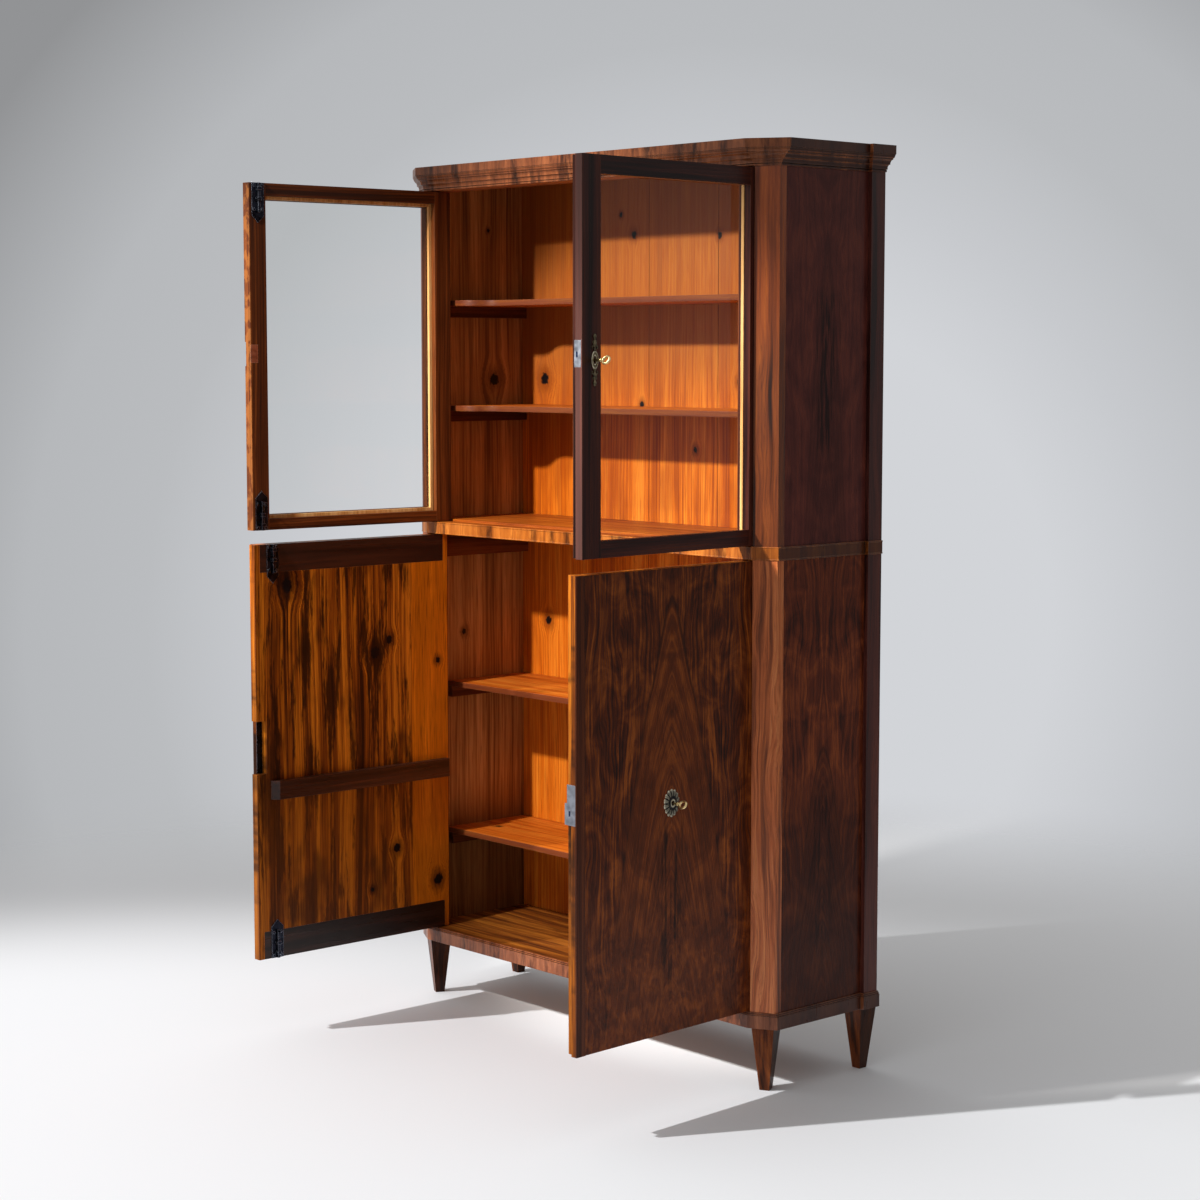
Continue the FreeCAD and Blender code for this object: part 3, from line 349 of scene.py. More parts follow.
def figured(paint, across, along, shades, tip, steep, tint, heart, seed=0.0):
    """Book-matched veneer: clouds and fine lines, an arch under its tip, black streaks under the heart.

    Tip and heart are heights, and steep says how fast the arch falls from its tip.
    """
    half = across.size()
    drift = paint.noise(half * 9, along * 4, seed).spread(0.3, 0.7, -0.5, 0.5)
    bent = half + drift * 0.02
    cloud = paint.noise(half * 14, along * 9, seed + 3.1, detail=4.0, rough=0.55, twist=1.6)
    fibre = paint.noise(bent * 190, along * 5, seed, detail=3.0, rough=0.6)
    pores = paint.noise(bent * 900, along * 24, seed, detail=1.0)
    level = along + half.power(1.4) * steep + drift * 0.03
    arcs = paint.noise(level * 80, half * 8, seed, detail=3.0, rough=0.6)
    inside = level.spread(tip + 0.01, tip - 0.01)
    dark, middle, light = shades
    grain = cloud * 0.45 + inside.between(fibre, arcs) * 0.55
    colour = grain.ramp((0.37, dark), (0.5, middle), (0.63, light))
    colour = (inside * 0.3).mixed(colour, tint)
    colour = pores.spread(0.56, 0.68, 0.0, 0.45).mixed(colour, dark)
    colour = (level - tip).size().spread(0.016, 0.0, 0.0, 0.65).mixed(colour, dark)
    streak = paint.noise(across * 150, along * 9, seed + 7.0, detail=4.0, rough=0.6)
    core = half.spread(0.06, 0.0) * along.spread(heart, heart - 0.06)
    core = core * along.spread(heart - 0.42, heart - 0.3)
    colour = (core * streak.spread(0.46, 0.6)).mixed(colour, dimmed(dark, 0.25))
    return Look(colour, fibre.spread(0.3, 0.7, 0.34, 0.24), fibre)


def burl(paint, across, along, third, shades, seed=0.0):
    """Mottled veneer from the butt of the tree; shades run from dark to light."""
    cloud = paint.noise(across * 26, along * 17, third * 26 + seed, detail=4.0, rough=0.62, twist=0.9)
    fleck = paint.noise(across * 120, along * 50, third * 120 + seed, detail=3.0, rough=0.6, twist=0.5)
    dark, middle, light = shades
    colour = (cloud * 0.65 + fleck * 0.35).ramp((0.38, dark), (0.5, middle), (0.62, light))
    return Look(colour, fleck.spread(0.3, 0.7, 0.36, 0.26), fleck)


def aged(paint, look, worn, bevel=0.0015, shade_reach=0.006, amount=0.4):
    """Handling lightens the edges, and painted shade darkens the corners and creases."""
    look = washed(look, paint.edges(bevel) * amount, worn)
    # painted shade: darker in tight corners and between parts
    return washed(look, paint.hollows(shade_reach) * 0.85, levels(16, 8, 7))


# Case
def side_panel():
    """Veneered outside, different above and below the belt; stained pine inside; both darker near the floor,
    inside as painted shade.
    """
    paint = Paint("side_panel_wood")
    across = paint.y - SIDE_MIDDLE
    above = tones((78, 35, 31), (100, 48, 41), (122, 61, 48))
    below = tones((52, 20, 12), (106, 47, 27), (150, 75, 38))
    stained = tones((107, 70, 35), (161, 114, 61), (190, 141, 82))
    upper = figured(paint, across, paint.z, above, tip=1.71, steep=30.0, tint=levels(48, 20, 18),
                    heart=1.62, seed=3.4)
    lower = figured(paint, across, paint.z, below, tip=0.68, steep=12.0, tint=levels(50, 20, 12),
                    heart=0.62, seed=8.1)
    lower = washed(lower, paint.z.spread(0.7, 0.45, 0.0, 0.6), levels(44, 17, 11))
    outside = layered(paint.z.spread(BELT_LOW, BELT_HIGH), lower, upper)
    knots = [(0.3036, 1.4085, 0.013), (0.2877, 1.75, 0.004), (0.21, 0.83, 0.006)]
    inside = pine(paint, paint.y, paint.z, paint.x, stained, knots, fine=150, seed=2.0)
    # painted shade on the inner wall near the floor
    inside = washed(inside, paint.z.spread(0.5, 0.36, 0.0, 0.6), levels(48, 26, 14))
    look = layered(paint.x.size().spread(WALL + 0.006, WALL + 0.012), inside, outside)
    return paint.finish(look, shine=0.15)


def corner_post():
    """Straight figure above, getting wavy and darker down to the belt; paler and wavy below it, where the paleness
    is painted light.
    """
    paint = Paint("corner_post_wood")
    grain = (paint, paint.x.size() + paint.y, paint.z, paint.y)
    head_shades = tones((106, 44, 13), (154, 72, 26), (184, 96, 39))
    wavy_shades = tones((48, 19, 7), (110, 51, 20), (146, 77, 33))
    # painted light: the lower tier's shades are paler than the upper's, standing in for light the lamps don't give
    # it
    lower_shades = tones((104, 48, 20), (196, 102, 50), (232, 144, 84))
    head = walnut(*grain, head_shades, fine=110, sway=0.03, veins=0.3)
    wavy = walnut(*grain, wavy_shades, fine=150, sway=0.1, veins=0.85, seed=4.0)
    upper = layered(paint.z.spread(1.62, 1.4), head, wavy)
    lower = walnut(*grain, lower_shades, fine=150, sway=0.1, veins=0.5, seed=5.0)
    look = layered(paint.z.spread(BELT_LOW, BELT_HIGH), lower, upper)
    return paint.finish(aged(paint, look, levels(210, 130, 78)), shine=0.4)


def pilaster():
    paint = Paint("pilaster_wood")
    shades = tones((44, 19, 17), (78, 37, 31), (106, 54, 42))
    look = walnut(paint, paint.y, paint.z, paint.x, shades, fine=200)
    return paint.finish(aged(paint, look, levels(150, 78, 50)), shine=0.3)


def crossband(name, shades, worn, shine, seed):
    """Bands round the case, veneered with the grain upright, with painted shade on the case's sides."""
    paint = Paint(name)
    run = paint.x + paint.y * 0.9
    grain = walnut(paint, run, paint.z * 0.8, paint.y * 0.2, shades, fine=120, sway=0.03, veins=0.9,
                   seed=seed)
    figure = burl(paint, run, paint.z * 0.6, paint.y * 0.2, shades, seed)
    look = layered(figure.height.spread(0.35, 0.65, 0.2, 0.6), grain, figure)
    # painted shade on the faces that look sideways
    look = washed(look, paint.facing(0).spread(0.0, 1.0, 0.0, 0.82), levels(54, 24, 17))
    return paint.finish(aged(paint, look, worn, bevel=0.001, shade_reach=0.008, amount=0.5), shine=shine)


def foot():
    """Straight grain, with painted shade on the faces that look sideways."""
    paint = Paint("foot_wood")
    shades = tones((54, 23, 8), (104, 50, 20), (138, 74, 33))
    look = walnut(paint, paint.x + paint.y, paint.z, paint.y - paint.x, shades, fine=180)
    # painted shade on the faces that look sideways
    look = washed(look, paint.facing(0).spread(0.0, 1.0, 0.0, 0.7), levels(26, 11, 5))
    return paint.finish(aged(paint, look, levels(140, 82, 44)), shine=0.15)


def back():
    """Amber pine inside, browner towards the top, partly as painted shade, and grey raw pine behind; every board
    has its own tone.
    """
    board_count = 5
    paint = Paint("back_pine")
    knots = [(-0.460, 1.411, 0.013), (-0.157, 1.730, 0.008), (0.112, 1.720, 0.007), (-0.131, 1.355, 0.007),
             (0.174, 1.408, 0.008), (-0.4485, 0.851, 0.010), (0.04, 1.26, 0.006), (-0.20, 1.776, 0.005),
             (0.30, 1.50, 0.009), (0.38, 0.62, 0.010), (-0.02, 0.70, 0.008), (0.18, 0.36, 0.009)]
    place = (paint.x + WALL) * (board_count / (2 * WALL))
    tone = paint.noise(place.math("FLOOR") * 3.7, 0.5, 0.5, detail=0.0)
    seam = (place.math("FRACT") - 0.5).size().spread(0.495, 0.499, 0.0, 0.85)
    blotch = paint.noise(paint.x * 9, paint.z * 2.6, 3.3, detail=3.0, rough=0.6)
    washes = [(tone.spread(0.3, 0.7, 0.0, 0.4), levels(198, 92, 14)),
              (blotch.spread(0.48, 0.66, 0.0, 0.55), levels(148, 62, 8)),
              # browner towards the top: partly the boards' own tone, partly painted shade
              (paint.z.spread(1.22, 1.52, 0.0, 0.75), levels(138, 80, 33)),
              (seam, levels(60, 26, 8))]
    amber = tones((138, 58, 6), (204, 103, 12), (234, 142, 42))
    raw = tones((96, 74, 52), (138, 108, 78), (164, 132, 98))
    inside = pine(paint, paint.x, paint.z, paint.y, amber, knots, fine=190, seed=1.0, washes=washes)
    behind = pine(paint, paint.x, paint.z, paint.y, raw, fine=110, seed=5.0)
    look = layered(paint.y.spread(BACK_FRONT + 0.003, BACK_FRONT + 0.006), inside, behind)
    return paint.finish(look, depth=0.0003, shine=0.25)


def shelf():
    """Amber pine with a brown front edge and a painted highlight along its edges; the grain shifts along from one
    shelf to the next.
    """
    paint = Paint("shelf_pine")
    knots = [(0.25, -0.30, 0.007), (0.16, 0.21, 0.005)]
    along = paint.x + (paint.z * 23).math("SINE") * 0.25
    shades = tones((138, 56, 6), (182, 86, 14), (208, 120, 38))
    look = pine(paint, paint.y, along, paint.z, shades, knots, fine=160, seed=3.0)
    look = washed(look, paint.facing(2).spread(1.0, 0.0, 0.0, 0.8), levels(76, 36, 22))
    # painted highlight: paler along the rounded edges
    look = washed(look, paint.edges(0.002) * 0.4, levels(200, 120, 84))
    return paint.finish(look, shine=0.25, bevel=0.004)


def floor_board(name, shades, fine, seed):
    """Board across the case, worn pale along its edges."""
    paint = Paint(name)
    look = pine(paint, paint.y, paint.x, paint.z, shades, fine=fine, seed=seed)
    look = washed(look, paint.edges(0.0015) * 0.5, shades[2])
    return paint.finish(look, shine=0.3)


def top_board():
    """Raw and dusty above, stained below."""
    paint = Paint("top_pine")
    grain = (paint, paint.y, paint.x, paint.z)
    dusty = pine(*grain, tones((84, 62, 44), (122, 94, 68), (150, 120, 90)), fine=90, seed=6.0)
    under = pine(*grain, tones((84, 38, 16), (128, 64, 28), (156, 84, 40)), fine=120, seed=7.0)
    return paint.finish(layered(paint.z.spread(TOP + 0.008, TOP + 0.014), under, dusty), shine=0.3)


def cleat():
    paint = Paint("cleat_pine")
    shades = tones((52, 24, 10), (84, 42, 18), (112, 60, 28))
    look = pine(paint, paint.z, paint.y, paint.x, shades, fine=160, seed=2.0)
    return paint.finish(look, shine=0.2)


# Doors. Across grows from a door's free edge to its hinge, and its outer face is at negative y.
rosette_low, rosette_high = closed_box("lower_rosette", "lower_right_door")
KEYHOLE = -(rosette_low.x + rosette_high.x) / 2


def lower_veneer(paint, across, free_edge, hinge_edge):
    """Arched figure about the keyhole's line, mottled near the floor, with a plain strip along both edges."""
    shades = tones((34, 12, 5), (94, 40, 15), (158, 82, 31))
    strip_shades = tones((36, 14, 9), (80, 36, 17), (112, 56, 27))
    arch = figured(paint, across + KEYHOLE, paint.z, shades, tip=0.998, steep=8.8, tint=levels(130, 62, 24),
                   heart=0.6, seed=5.3)
    mottle = burl(paint, across, paint.z, paint.y, shades, seed=2.0)
    strip = walnut(paint, across, paint.z, paint.y, strip_shades, fine=260, sway=0.01)
    rim = across.spread(free_edge + 0.024, free_edge + 0.022)
    rim = rim.most(across.spread(hinge_edge - 0.004, hinge_edge - 0.003))
    return layered(rim, layered(paint.z.spread(0.5, 0.3, 0.0, 0.45), arch, mottle), strip)


def lower_boards(paint, across):
    """Pine boards with dark smears and soot, cleaner on the board next to the hinge."""
    knots = [(-0.42, 0.9724, 0.014), (-0.1888, 0.8089, 0.012), (-0.0158, 0.2753, 0.012),
             (-0.2008, 0.2767, 0.005), (-0.1496, 0.8348, 0.008), (-0.0141, 0.7788, 0.006),
             (-0.1325, 0.3628, 0.009)]
    smear = paint.noise(across * 34, paint.z * 3.2, 1.0, detail=5.0, rough=0.75)
    soot = paint.noise(across * 12, paint.z * 5, 4.0, detail=3.0)
    washes = [(smear.spread(0.49, 0.59, 0.0, 0.88), levels(30, 11, 3)),
              (soot.spread(0.52, 0.7, 0.0, 0.75), levels(30, 12, 3)),
              (across.spread(-0.090, -0.086, 0.0, 0.6), levels(226, 122, 10)),
              (paint.z.spread(0.56, 0.48, 0.0, 0.3), levels(118, 60, 7))]
    shades = tones((46, 17, 2), (134, 64, 8), (204, 116, 24))
    return pine(paint, across, paint.z, paint.y, shades, knots, fine=230, seed=4.0, washes=washes)


def lower_panel(door):
    """Walnut veneer on the outer face and the hinge's edge, pine boards inside."""
    side = hinge_of(door).side
    low, high = closed_box(door.replace("_door", "_panel"), door)
    free_edge, hinge_edge = sorted((low.x * side, high.x * side))
    outer = -high.y
    paint = Paint(door + "_wood", door)
    across = paint.x * side
    veneer = lower_veneer(paint, across, free_edge, hinge_edge)
    boards = lower_boards(paint, across)
    outside = paint.y.spread(outer + 0.0020, outer + 0.0012)
    outside = outside.most(across.spread(hinge_edge - 0.002, hinge_edge - 0.001))
    look = layered(outside, boards, veneer)
    look = aged(paint, look, levels(180, 104, 54), bevel=0.0012, shade_reach=0.004, amount=0.45)
    return paint.finish(look, shine=0.14)


def upper_frame(door, along):
    """Nearly black walnut outside, brown pine inside; edges veneered on the right door, its free edge with painted
    sheen; bare on the left.
    """
    side = hinge_of(door).side
    low, high = closed_box(door.replace("_door", "_free_stile"), door)
    free_edge = (low.x if side > 0 else high.x) * side
    bare = high.y - 0.002 if side > 0 else low.y + 0.002
    paint = Paint(f"{door}_{along}_wood", door)
    flat = paint.x * side
    across, length = (flat, paint.z) if along == "stile" else (paint.z, flat)
    edge = flat.spread(free_edge + 0.003, free_edge + 0.001)
    nibbles = paint.noise(length * 40, across * 60, paint.y * 60, detail=3.0).spread(0.42, 0.55)
    dark = tones((36, 15, 12), (64, 28, 22), (94, 45, 30))
    brown = tones((44, 18, 5), (84, 39, 13), (120, 62, 25))
    veneer = walnut(paint, across, length, paint.y, dark, fine=240, sway=0.01)
    # painted sheen: the veneer made paler near the free edge
    veneer = washed(veneer, edge * 0.3, levels(142, 98, 88))
    raw = pine(paint, across, length, paint.y, brown, fine=220, seed=3.0)
    raw = washed(raw, edge * nibbles * 0.4, levels(160, 98, 42))
    look = layered(paint.y.spread(bare - 0.0005, bare + 0.0005), veneer, raw)
    look = aged(paint, look, levels(160, 98, 62), bevel=0.001, shade_reach=0.003, amount=0.45)
    return paint.finish(look, shine=0.18)


def bead(door):
    paint = Paint(door + "_bead_pine", door)
    shades = tones((186, 122, 60), (222, 166, 98), (238, 192, 128))
    look = pine(paint, paint.x, paint.z, paint.y, shades, fine=160, seed=3.0)
    return paint.finish(look, shine=0.3)


def batten(door):
    paint = Paint(door + "_batten_wood", door)
    shades = tones((22, 9, 6), (44, 21, 14), (68, 35, 22))
    look = walnut(paint, paint.z, paint.x, paint.y, shades, fine=160, sway=0.02)
    look = aged(paint, look, levels(130, 80, 58), bevel=0.0015, shade_reach=0.004, amount=0.5)
    return paint.finish(look, shine=0.4)


# Metals and glass
def metal(name, shades, rough, bright_reach=0.0006, relief=None):
    """Shades run from the tarnish in the corners to the bright edges, worn and partly a painted highlight.

    Bright reach is how far in from an edge it is bright. A fine mesh is bright on its ridges instead, from the
    pointiness given as relief.
    """
    paint = Paint(name)
    cloud = paint.noise(paint.x * 70, paint.y * 70, paint.z * 70, detail=3.0)
    pits = paint.noise(paint.x * 600, paint.y * 600, paint.z * 600)
    dull, middle, bright = shades
    worn_and_glinting = paint.raised(relief) if relief else paint.edges(bright_reach)
    tarnish_reach = 0.0015 if relief else 0.003
    colour = cloud.ramp((0.3, dull), (0.6, middle))
    # edges and ridges: worn bright, and partly a painted highlight
    colour = (worn_and_glinting * 0.8).mixed(colour, bright)
    colour = paint.hollows(tarnish_reach).mixed(colour, dimmed(dull, 0.1))
    look = Look(colour, cloud.spread(0.3, 0.7, rough - 0.05, rough + 0.1), pits)
    return paint.finish(look, depth=0.00004, metal=1.0, bevel=0.0005)


def glass():
    """Old pane: clear and slightly wavy, with gloss on the face that is looked at."""
    paint = Paint("glass")
    bump = paint.add("ShaderNodeBump")
    bump.inputs["Distance"].default_value = 0.0008
    wave = paint.noise(paint.x * 9, paint.y * 9, paint.z * 5, detail=1.0)
    paint.x.feed(bump.inputs["Height"], wave)
    gloss = paint.add("ShaderNodeBsdfGlossy")
    gloss.inputs["Roughness"].default_value = 0.02
    paint.join(bump.outputs[0], gloss.inputs["Normal"])
    clear = paint.add("ShaderNodeBsdfTransparent")
    clear.inputs["Color"].default_value = (0.985, 0.992, 0.988, 1.0)
    fresnel = paint.add("ShaderNodeFresnel")
    fresnel.inputs["IOR"].default_value = 1.35
    front = paint.signal(paint.geometry("Backfacing")).spread(1.0, 0.0)
    return paint.finish_mixed(paint.signal(fresnel.outputs[0]) * front, clear, gloss)


# Brass fittings, in a closed door's coordinates: x across, z up, the room at negative y
FORWARD = Vector((0, -1, 0))


def skin(rings, closed):
    """Faces over rings of points: joined end to end when closed, capped otherwise."""
    count = len(rings[0])
    spots = [spot for ring in rings for spot in ring]
    faces = []
    for row in range(len(rings) if closed else len(rings) - 1):
        here, there = row * count, (row + 1) % len(rings) * count
        for column in range(count):
            beside = (column + 1) % count
            faces.append((here + column, here + beside, there + beside, there + column))
    if not closed:
        faces.append(tuple(reversed(range(count))))
        faces.append(tuple(range(len(spots) - count, len(spots))))
    return spots, faces


def oval(middle, right, up, height, section, leaves=0, around=128):
    """Oval ring on two half axes: the section gives (reach, rise), as shares of these and of the height.

    With leaves, its outer part is drawn in and sinks between one leaf and the next.
    """
    leaf_start, leaf_blend = 0.4, 0.3
    pinch, sink = 0.16, 0.85
    front = right.cross(up).normalized()
    rings = []
    for reach, rise in section:
        ring = []
        for step in range(around):
            turn = 2 * math.pi * step / around
            gap = 1 - abs(math.cos(leaves * turn / 2)) ** 0.6
            zone = min(max((reach - leaf_start) / leaf_blend, 0), 1) if leaves else 0
            out = reach * (1 - pinch * gap * zone)
            lift = height * rise * (1 - sink * gap * zone)
            ring.append(middle + (right * math.sin(turn) + up * math.cos(turn)) * out + front * lift)
        rings.append(ring)
    return skin(rings, True)


def rod(spots, radii, front, flat=1.0, around=14):
    """Bar along a path that lies square to the front direction."""
    rings = []
    for index, (spot, radius) in enumerate(zip(spots, radii)):
        ahead = spots[min(index + 1, len(spots) - 1)] - spots[max(index - 1, 0)]
        out = ahead.cross(front).normalized()
        ring = []
        for step in range(around):
            turn = 2 * math.pi * step / around
            ring.append(spot + (out * math.cos(turn) + front * flat * math.sin(turn)) * radius)
        rings.append(ring)
    return skin(rings, False)


def scroll(middle, side, rise, reach, wire):
    """Spiral bar that starts at the stem and curls outwards and back."""
    steps = 28
    half_turns, shrink, taper = 1.55, 0.72, 0.35
    spots = []
    radii = []
    for step in range(steps + 1):
        part = step / steps
        turn = math.pi * (1 - half_turns * part)
        out = reach * (1 - shrink * part)
        spots.append(middle + Vector((side * out * math.cos(turn), 0, rise * out * math.sin(turn))))
        radii.append(wire * (1 - taper * part))
    return rod(spots, radii, FORWARD, flat=0.7)


def fitted(name, node, door, body, material, solids):
    """One smooth piece from several closed solids, turned with its door, in place of a CAD piece."""
    hinge = hinge_of(door)
    turn = Matrix.Rotation(hinge.angle, 3, "Z")
    spots, faces = [], []
    for solid_spots, solid_faces in solids:
        start = len(spots)
        spots.extend(hinge.pivot + turn @ spot for spot in solid_spots)
        faces.extend(tuple(start + index for index in face) for face in solid_faces)
    mesh = bpy.data.meshes.new(name)
    mesh.from_pydata(spots, [], faces)
    mesh.materials.append(material)
    mesh.shade_smooth()
    piece = bpy.data.objects.new(name, mesh)
    scene.collection.objects.link(piece)
    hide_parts(node)
    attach(piece, body)


def rosette():
    """Oval rosette: a raised eye in a ring of leaves."""
    door = "lower_right_door"
    low, high = closed_box("lower_rosette", door)
    middle = Vector(((low.x + high.x) / 2, high.y, (low.z + high.z) / 2))
    right = Vector(((high.x - low.x) / 2, 0, 0))
    up = Vector((0, 0, (high.z - low.z) / 2))
    section = [(0.17, 0.0), (0.17, 0.8), (0.21, 1.0), (0.28, 1.0), (0.33, 0.72), (0.38, 0.55), (0.46, 0.66),
               (0.58, 0.82), (0.70, 0.80), (0.82, 0.64), (0.93, 0.40), (1.0, 0.16), (1.0, 0.0)]
    boss = oval(middle, right, up, high.y - low.y, section, leaves=14, around=168)
    shades = tones((24, 24, 28), (52, 50, 48), (255, 246, 216))
    brass = metal("rosette_brass", shades, rough=0.3, relief=0.499)
    fitted("rosette_relief", "lower_rosette", door, door, brass, [boss])


def escutcheon():
    """Long keyhole mount: an oval ring between scrolls, with a turned stem and tip above and below."""
    door = "upper_right_door"
    low, high = closed_box("upper_escutcheon", door)
    middle = Vector(((low.x + high.x) / 2, high.y, (low.z + high.z) / 2))
    width = (high.x - low.x) / 2
    height = (high.z - low.z) / 2
    depth = high.y - low.y
    section = [(0.46, 0.0), (0.46, 0.9), (0.55, 1.1), (0.64, 0.7), (0.80, 0.7), (0.86, 1.3), (0.94, 1.4),
               (1.0, 0.9), (1.0, 0.0)]
    solids = [oval(middle, Vector((width * 0.82, 0, 0)), Vector((0, 0, height * 0.34)), depth, section)]
    stem = [0.34, 0.28, 0.22, 0.28, 0.42, 0.44, 0.32, 0.20, 0.20, 0.36, 0.42, 0.32, 0.10]
    stem_start, stem_length = 0.33, 0.65
    places = [height * (stem_start + stem_length * step / (len(stem) - 1)) for step in range(len(stem))]
    for rise in (1, -1):
        spots = [middle + Vector((0, -depth / 2, rise * place)) for place in places]
        solids.append(rod(spots, [width * part for part in stem], FORWARD, flat=0.7))
        for side in (1, -1):
            near = middle + Vector((side * width * 0.48, -depth / 2, rise * height * 0.45))
            far = middle + Vector((side * width * 0.34, -depth / 2, rise * height * 0.66))
            solids.append(scroll(near, side, rise, reach=width * 0.42, wire=width * 0.11))
            solids.append(scroll(far, side, rise, reach=width * 0.28, wire=width * 0.09))
    fitted("escutcheon_relief", "upper_escutcheon", door, door, metals["old_brass"], solids)


def key(tier):
    """Key with an open oval bow, a moulded shank and a notched bit, measured in half heights of the bow."""
    node, door = f"{tier}_key", f"{tier}_right_door"
    low, high = closed_box(node, door)
    bow = (high.z - low.z) / 2
    length = (high.y - low.y) / bow
    middle = Vector(((low.x + high.x) / 2, low.y + bow, (low.z + high.z) / 2))
    section = [(0.52, 0.0), (0.56, 0.17), (0.68, 0.27), (0.80, 0.29), (0.93, 0.20), (1.0, 0.0), (0.93, -0.20),
               (0.80, -0.29), (0.68, -0.27), (0.56, -0.17)]
    tilt = math.radians(30)
    up = Vector((math.sin(tilt), 0, math.cos(tilt))) * bow
    solids = [oval(middle, Vector((0, -bow * 1.1, 0)), up, bow, section, around=64)]
    shank = [(1.84, 0.26), (1.96, 0.42), (2.08, 0.42), (2.16, 0.28), (2.24, 0.28), (2.28, 0.41), (2.62, 0.41),
             (2.67, 0.28), (length, 0.28)]
    spots = [Vector((middle.x, low.y + bow * place, middle.z)) for place, radius in shank]
    solids.append(rod(spots, [bow * radius for place, radius in shank], Vector((1, 0, 0))))
    half_thick, bit_length, bit_drop = 0.16, 0.64, 0.96
    bit_end = length - 0.12
    bit_start = bit_end - bit_length
    notch_end = bit_end - bit_length * 0.4
    notch_start = bit_end - bit_length * 0.6
    notch_drop = bit_drop * 0.75
    outline = [(bit_end, 0.2), (bit_end, bit_drop), (notch_end, bit_drop), (notch_end, notch_drop),
               (notch_start, notch_drop), (notch_start, bit_drop), (bit_start, bit_drop), (bit_start, 0.2)]
    sides = []
    for offset in (-half_thick, half_thick):
        sides.append([Vector((middle.x + bow * offset, low.y + bow * place, middle.z - bow * drop))
                      for place, drop in outline])
    solids.append(skin(sides, False))
    fitted(f"{tier}_key_turned", node, door, f"{tier}_key", metals["key_brass"], solids)


# Which material each piece wears
wear(side_panel(), "side_panel_left", "side_panel_right")
wear(corner_post(), "corner_post_left", "corner_post_right")
wear(pilaster(), "rear_pilaster_left", "rear_pilaster_right")
wear(crossband("cornice_wood", tones((50, 23, 11), (122, 65, 34), (166, 98, 57)), worn=levels(190, 122, 80),
               shine=0.3, seed=1.0), "cornice")
wear(crossband("belt_wood", tones((84, 38, 8), (162, 85, 24), (202, 121, 46)), worn=levels(210, 140, 82),
               shine=0.3, seed=2.0), "belt_moulding")
wear(crossband("plinth_wood", tones((58, 26, 13), (120, 64, 36), (166, 100, 64)), worn=levels(186, 122, 84),
               shine=0.35, seed=3.0), "plinth_moulding")
wear(foot(), *[f"foot_{row}_{hand}" for row in ("front", "rear") for hand in ("left", "right")])
wear(back(), "back_boards")
wear(shelf(), *[f"{tier}_shelf_{level}" for tier in ("upper", "lower") for level in ("low", "high")])
wear(floor_board("middle_pine", tones((110, 43, 3), (148, 67, 7), (184, 100, 24)), fine=110, seed=4.0),
     "middle_board")
wear(floor_board("bottom_pine", tones((46, 19, 7), (116, 59, 14), (174, 105, 36)), fine=70, seed=5.0),
     "bottom_board")
wear(floor_board("head_pine", tones((96, 44, 18), (140, 72, 32), (168, 94, 46)), fine=120, seed=6.0),
     "head_rail")
wear(top_board(), "top_board")
wear(cleat(), "shelf_cleats")
for hand in ("left", "right"):
    upper_door, lower_door = f"upper_{hand}_door", f"lower_{hand}_door"
    wear(upper_frame(upper_door, "stile"), f"upper_{hand}_free_stile", f"upper_{hand}_hinge_stile")
    wear(upper_frame(upper_door, "rail"), f"upper_{hand}_top_rail", f"upper_{hand}_bottom_rail")
    wear(bead(upper_door), f"upper_{hand}_glazing_beads")
    wear(lower_panel(lower_door), f"lower_{hand}_panel")
    wear(batten(lower_door), f"lower_{hand}_battens")
wear(glass(), "upper_left_glass", "upper_right_glass")

# Metals go by the record's material slots, but the lock bolts are blued
metals = {
    "dark_iron": metal("dark_iron", tones((24, 26, 34), (42, 46, 58), (196, 204, 222)),
                       rough=0.28, bright_reach=0.0014),
    "lock_steel": metal("lock_steel", tones((140, 144, 154), (176, 180, 190), (220, 223, 230)), rough=0.4),
    "old_brass": metal("old_brass", tones((62, 57, 48), (112, 101, 78), (254, 244, 214)),
                       rough=0.3, relief=0.49),
    "key_brass": metal("key_brass", tones((214, 184, 122), (240, 216, 160), (252, 238, 200)), rough=0.3),
    "copper": metal("copper", tones((130, 78, 54), (182, 118, 88), (236, 186, 156)), rough=0.38, bright_reach=0.0015),
}
for entry in frame["record"]["subparts"]:
    if entry["material_slot"] in metals:
        wear(metals[entry["material_slot"]], entry["node"])
blued_steel = metal("blued_steel", tones((30, 40, 66), (54, 70, 108), (150, 164, 190)), rough=0.35)
wear(blued_steel, "upper_lock_bolt", "lower_lock_bolt")

rosette()
escutcheon()
key("upper")
key("lower")

# Stage: directions to the key light, the fill and the backdrop's middle, and where the key light is aimed
KEY_FROM = Vector((-0.475, -0.88, 1.14))
KEY_DISTANCE = 24
KEY_TARGET = Vector((0.1, -2.0, 0))
FILL_FROM = Vector((-0.6, -0.5, 0.62))
BACKDROP_MIDDLE = Vector((-0.705, 0.701, -0.105))


def floor():
    """Pale floor that fades out into the backdrop."""
    size = 12.0
    fade_start, fade_end = 1.5, 3.4
    paint = Paint("floor")
    diffuse = paint.add("ShaderNodeBsdfDiffuse")
    diffuse.inputs["Color"].default_value = (0.86, 0.865, 0.88, 1.0)
    clear = paint.add("ShaderNodeBsdfTransparent")
    reach = (paint.x * paint.x + paint.y * paint.y).math("SQRT")
    material = paint.finish_mixed(reach.spread(fade_start, fade_end), diffuse, clear)
    mesh = bpy.data.meshes.new("floor")
    spots = [(x * size / 2, y * size / 2, 0) for x, y in ((-1, -1), (1, -1), (1, 1), (-1, 1))]
    mesh.from_pydata(spots, [], [(0, 1, 2, 3)])
    mesh.materials.append(material)
    plane = bpy.data.objects.new("floor", mesh)
    scene.collection.objects.link(plane)


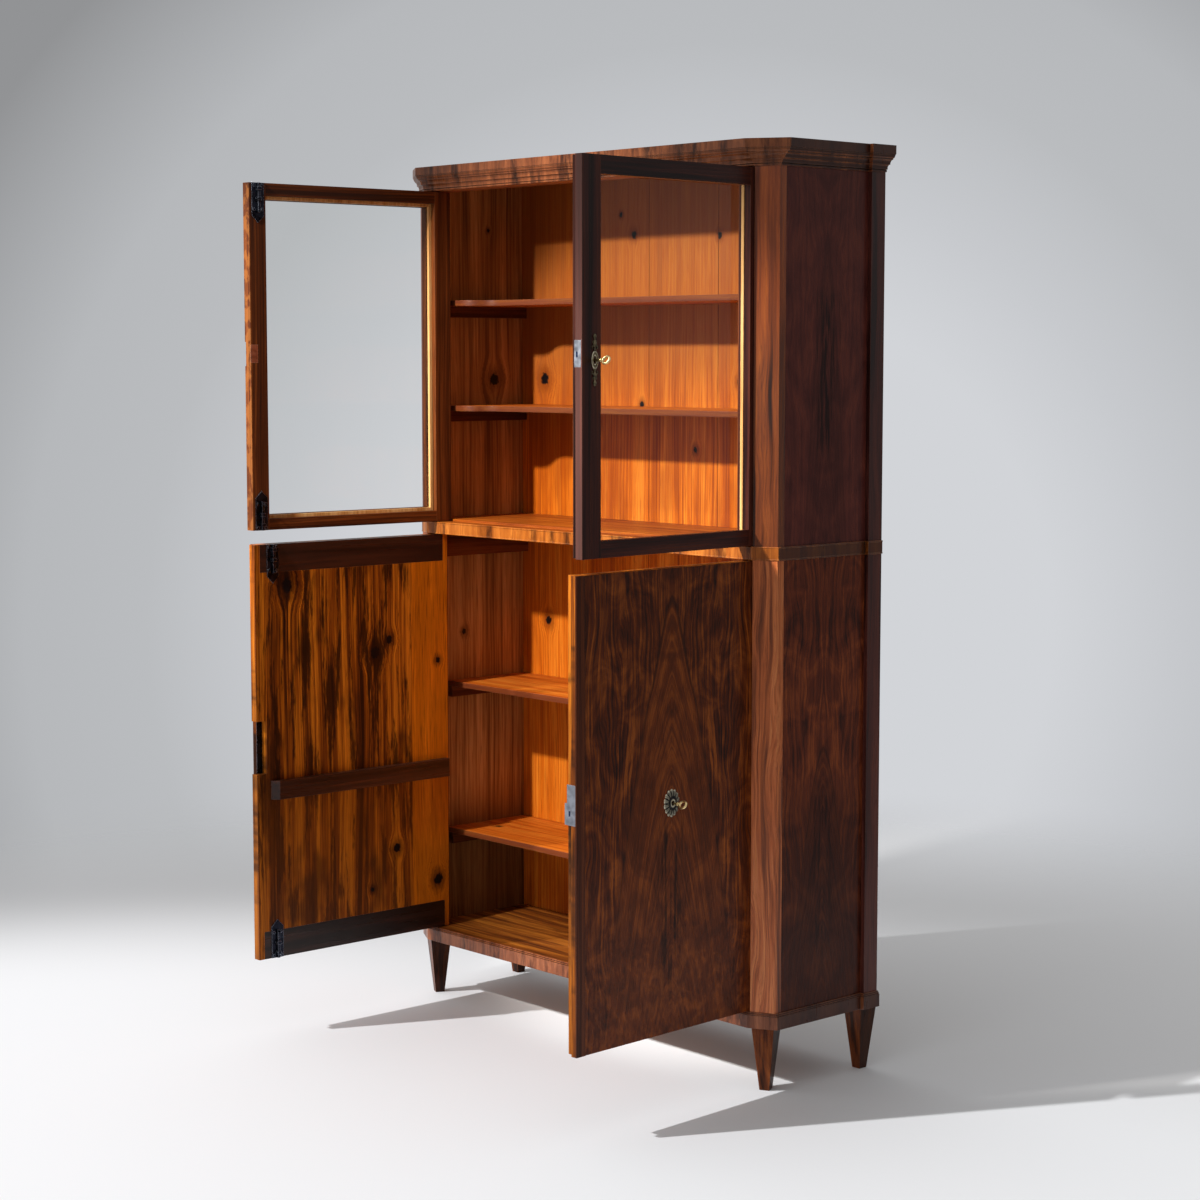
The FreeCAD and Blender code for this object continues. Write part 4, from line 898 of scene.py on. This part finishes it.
def surroundings():
    """Fill light from the front left and a pale backdrop; reflections see the key light's side as well."""
    world = bpy.data.worlds.new("studio")
    scene.world = world
    world.use_nodes = True
    tree = world.node_tree
    parts = tree.nodes.new("ShaderNodeSeparateXYZ")
    tree.links.new(tree.nodes.new("ShaderNodeTexCoord").outputs["Generated"], parts.inputs[0])
    east, north, height = [Signal(tree, socket) for socket in parts.outputs]

    def toward(direction):
        x, y, z = direction.normalized()
        return east * x + north * y + height * z

    def glow(signal):
        made = tree.nodes.new("ShaderNodeBackground")
        signal.feed(made.inputs["Color"], signal)
        return made.outputs[0]

    def choose(mask, first, second):
        made = tree.nodes.new("ShaderNodeMixShader")
        for socket, output in zip(made.inputs, (mask, first, second)):
            tree.links.new(output, socket)
        return made.outputs[0]

    fill = toward(FILL_FROM).spread(-0.2, 0.9, 0.09, 0.86)
    sheen = toward(KEY_FROM).spread(0.5, 0.95).most(height.spread(-0.05, 0.15, 0.2, 0.6))
    steepness = 14.0
    aside = toward(BACKDROP_MIDDLE) * -steepness + steepness
    backdrop = aside.ramp((0.12, levels(210, 212, 216)), (0.22, levels(199, 201, 205)),
                          (0.36, levels(186, 188, 191)), (0.52, levels(182, 184, 187)),
                          (0.82, levels(146, 147, 149)))
    path = tree.nodes.new("ShaderNodeLightPath")
    light = choose(path.outputs["Is Glossy Ray"], glow(fill), glow(sheen.most(backdrop)))
    seen = Signal(tree, path.outputs["Is Camera Ray"])
    seen = seen.most(Signal(tree, path.outputs["Is Transmission Ray"]))
    surface = choose(seen.socket, light, glow(backdrop))
    tree.links.new(surface, tree.nodes["World Output"].inputs["Surface"])


def lamp(name, place, target, power, colour, cone, blend, soft):
    """Spot lamp: cone is its full angle in degrees, soft the radius of its face in metres."""
    light = bpy.data.lights.new(name, "SPOT")
    light.energy = power
    light.color = colour
    light.spot_size = math.radians(cone)
    light.spot_blend = blend
    light.shadow_soft_size = soft
    holder = bpy.data.objects.new(name, light)
    holder.location = place
    holder.rotation_euler = (target - place).to_track_quat("-Z", "Y").to_euler()
    scene.collection.objects.link(holder)


floor()
surroundings()
lamp("key", KEY_TARGET + KEY_FROM.normalized() * KEY_DISTANCE, KEY_TARGET, power=18200,
     colour=(0.99, 0.995, 1.0), cone=13.8, blend=0.6, soft=0.2)
lamp("front", Vector((-0.25, -2.3, 2.65)), Vector((0.0, 0.39, 0.93)), power=500,
     colour=(1.0, 0.97, 0.93), cone=33.5, blend=0.4, soft=0.06)

# Camera at the photo's view
lens = bpy.data.cameras.new("camera")
lens.sensor_width = 36.0
lens.lens = 75.03
azimuth, drop = math.radians(47.904), math.radians(5.574)
ahead = Vector((-math.sin(azimuth) * math.cos(drop), math.cos(azimuth) * math.cos(drop), -math.sin(drop)))
camera = bpy.data.objects.new("camera", lens)
camera.location = (3.9374, -3.4118, 1.4637)
camera.rotation_euler = ahead.to_track_quat("-Z", "Y").to_euler()
scene.collection.objects.link(camera)
scene.camera = camera
scene.view_settings.view_transform = "Standard"
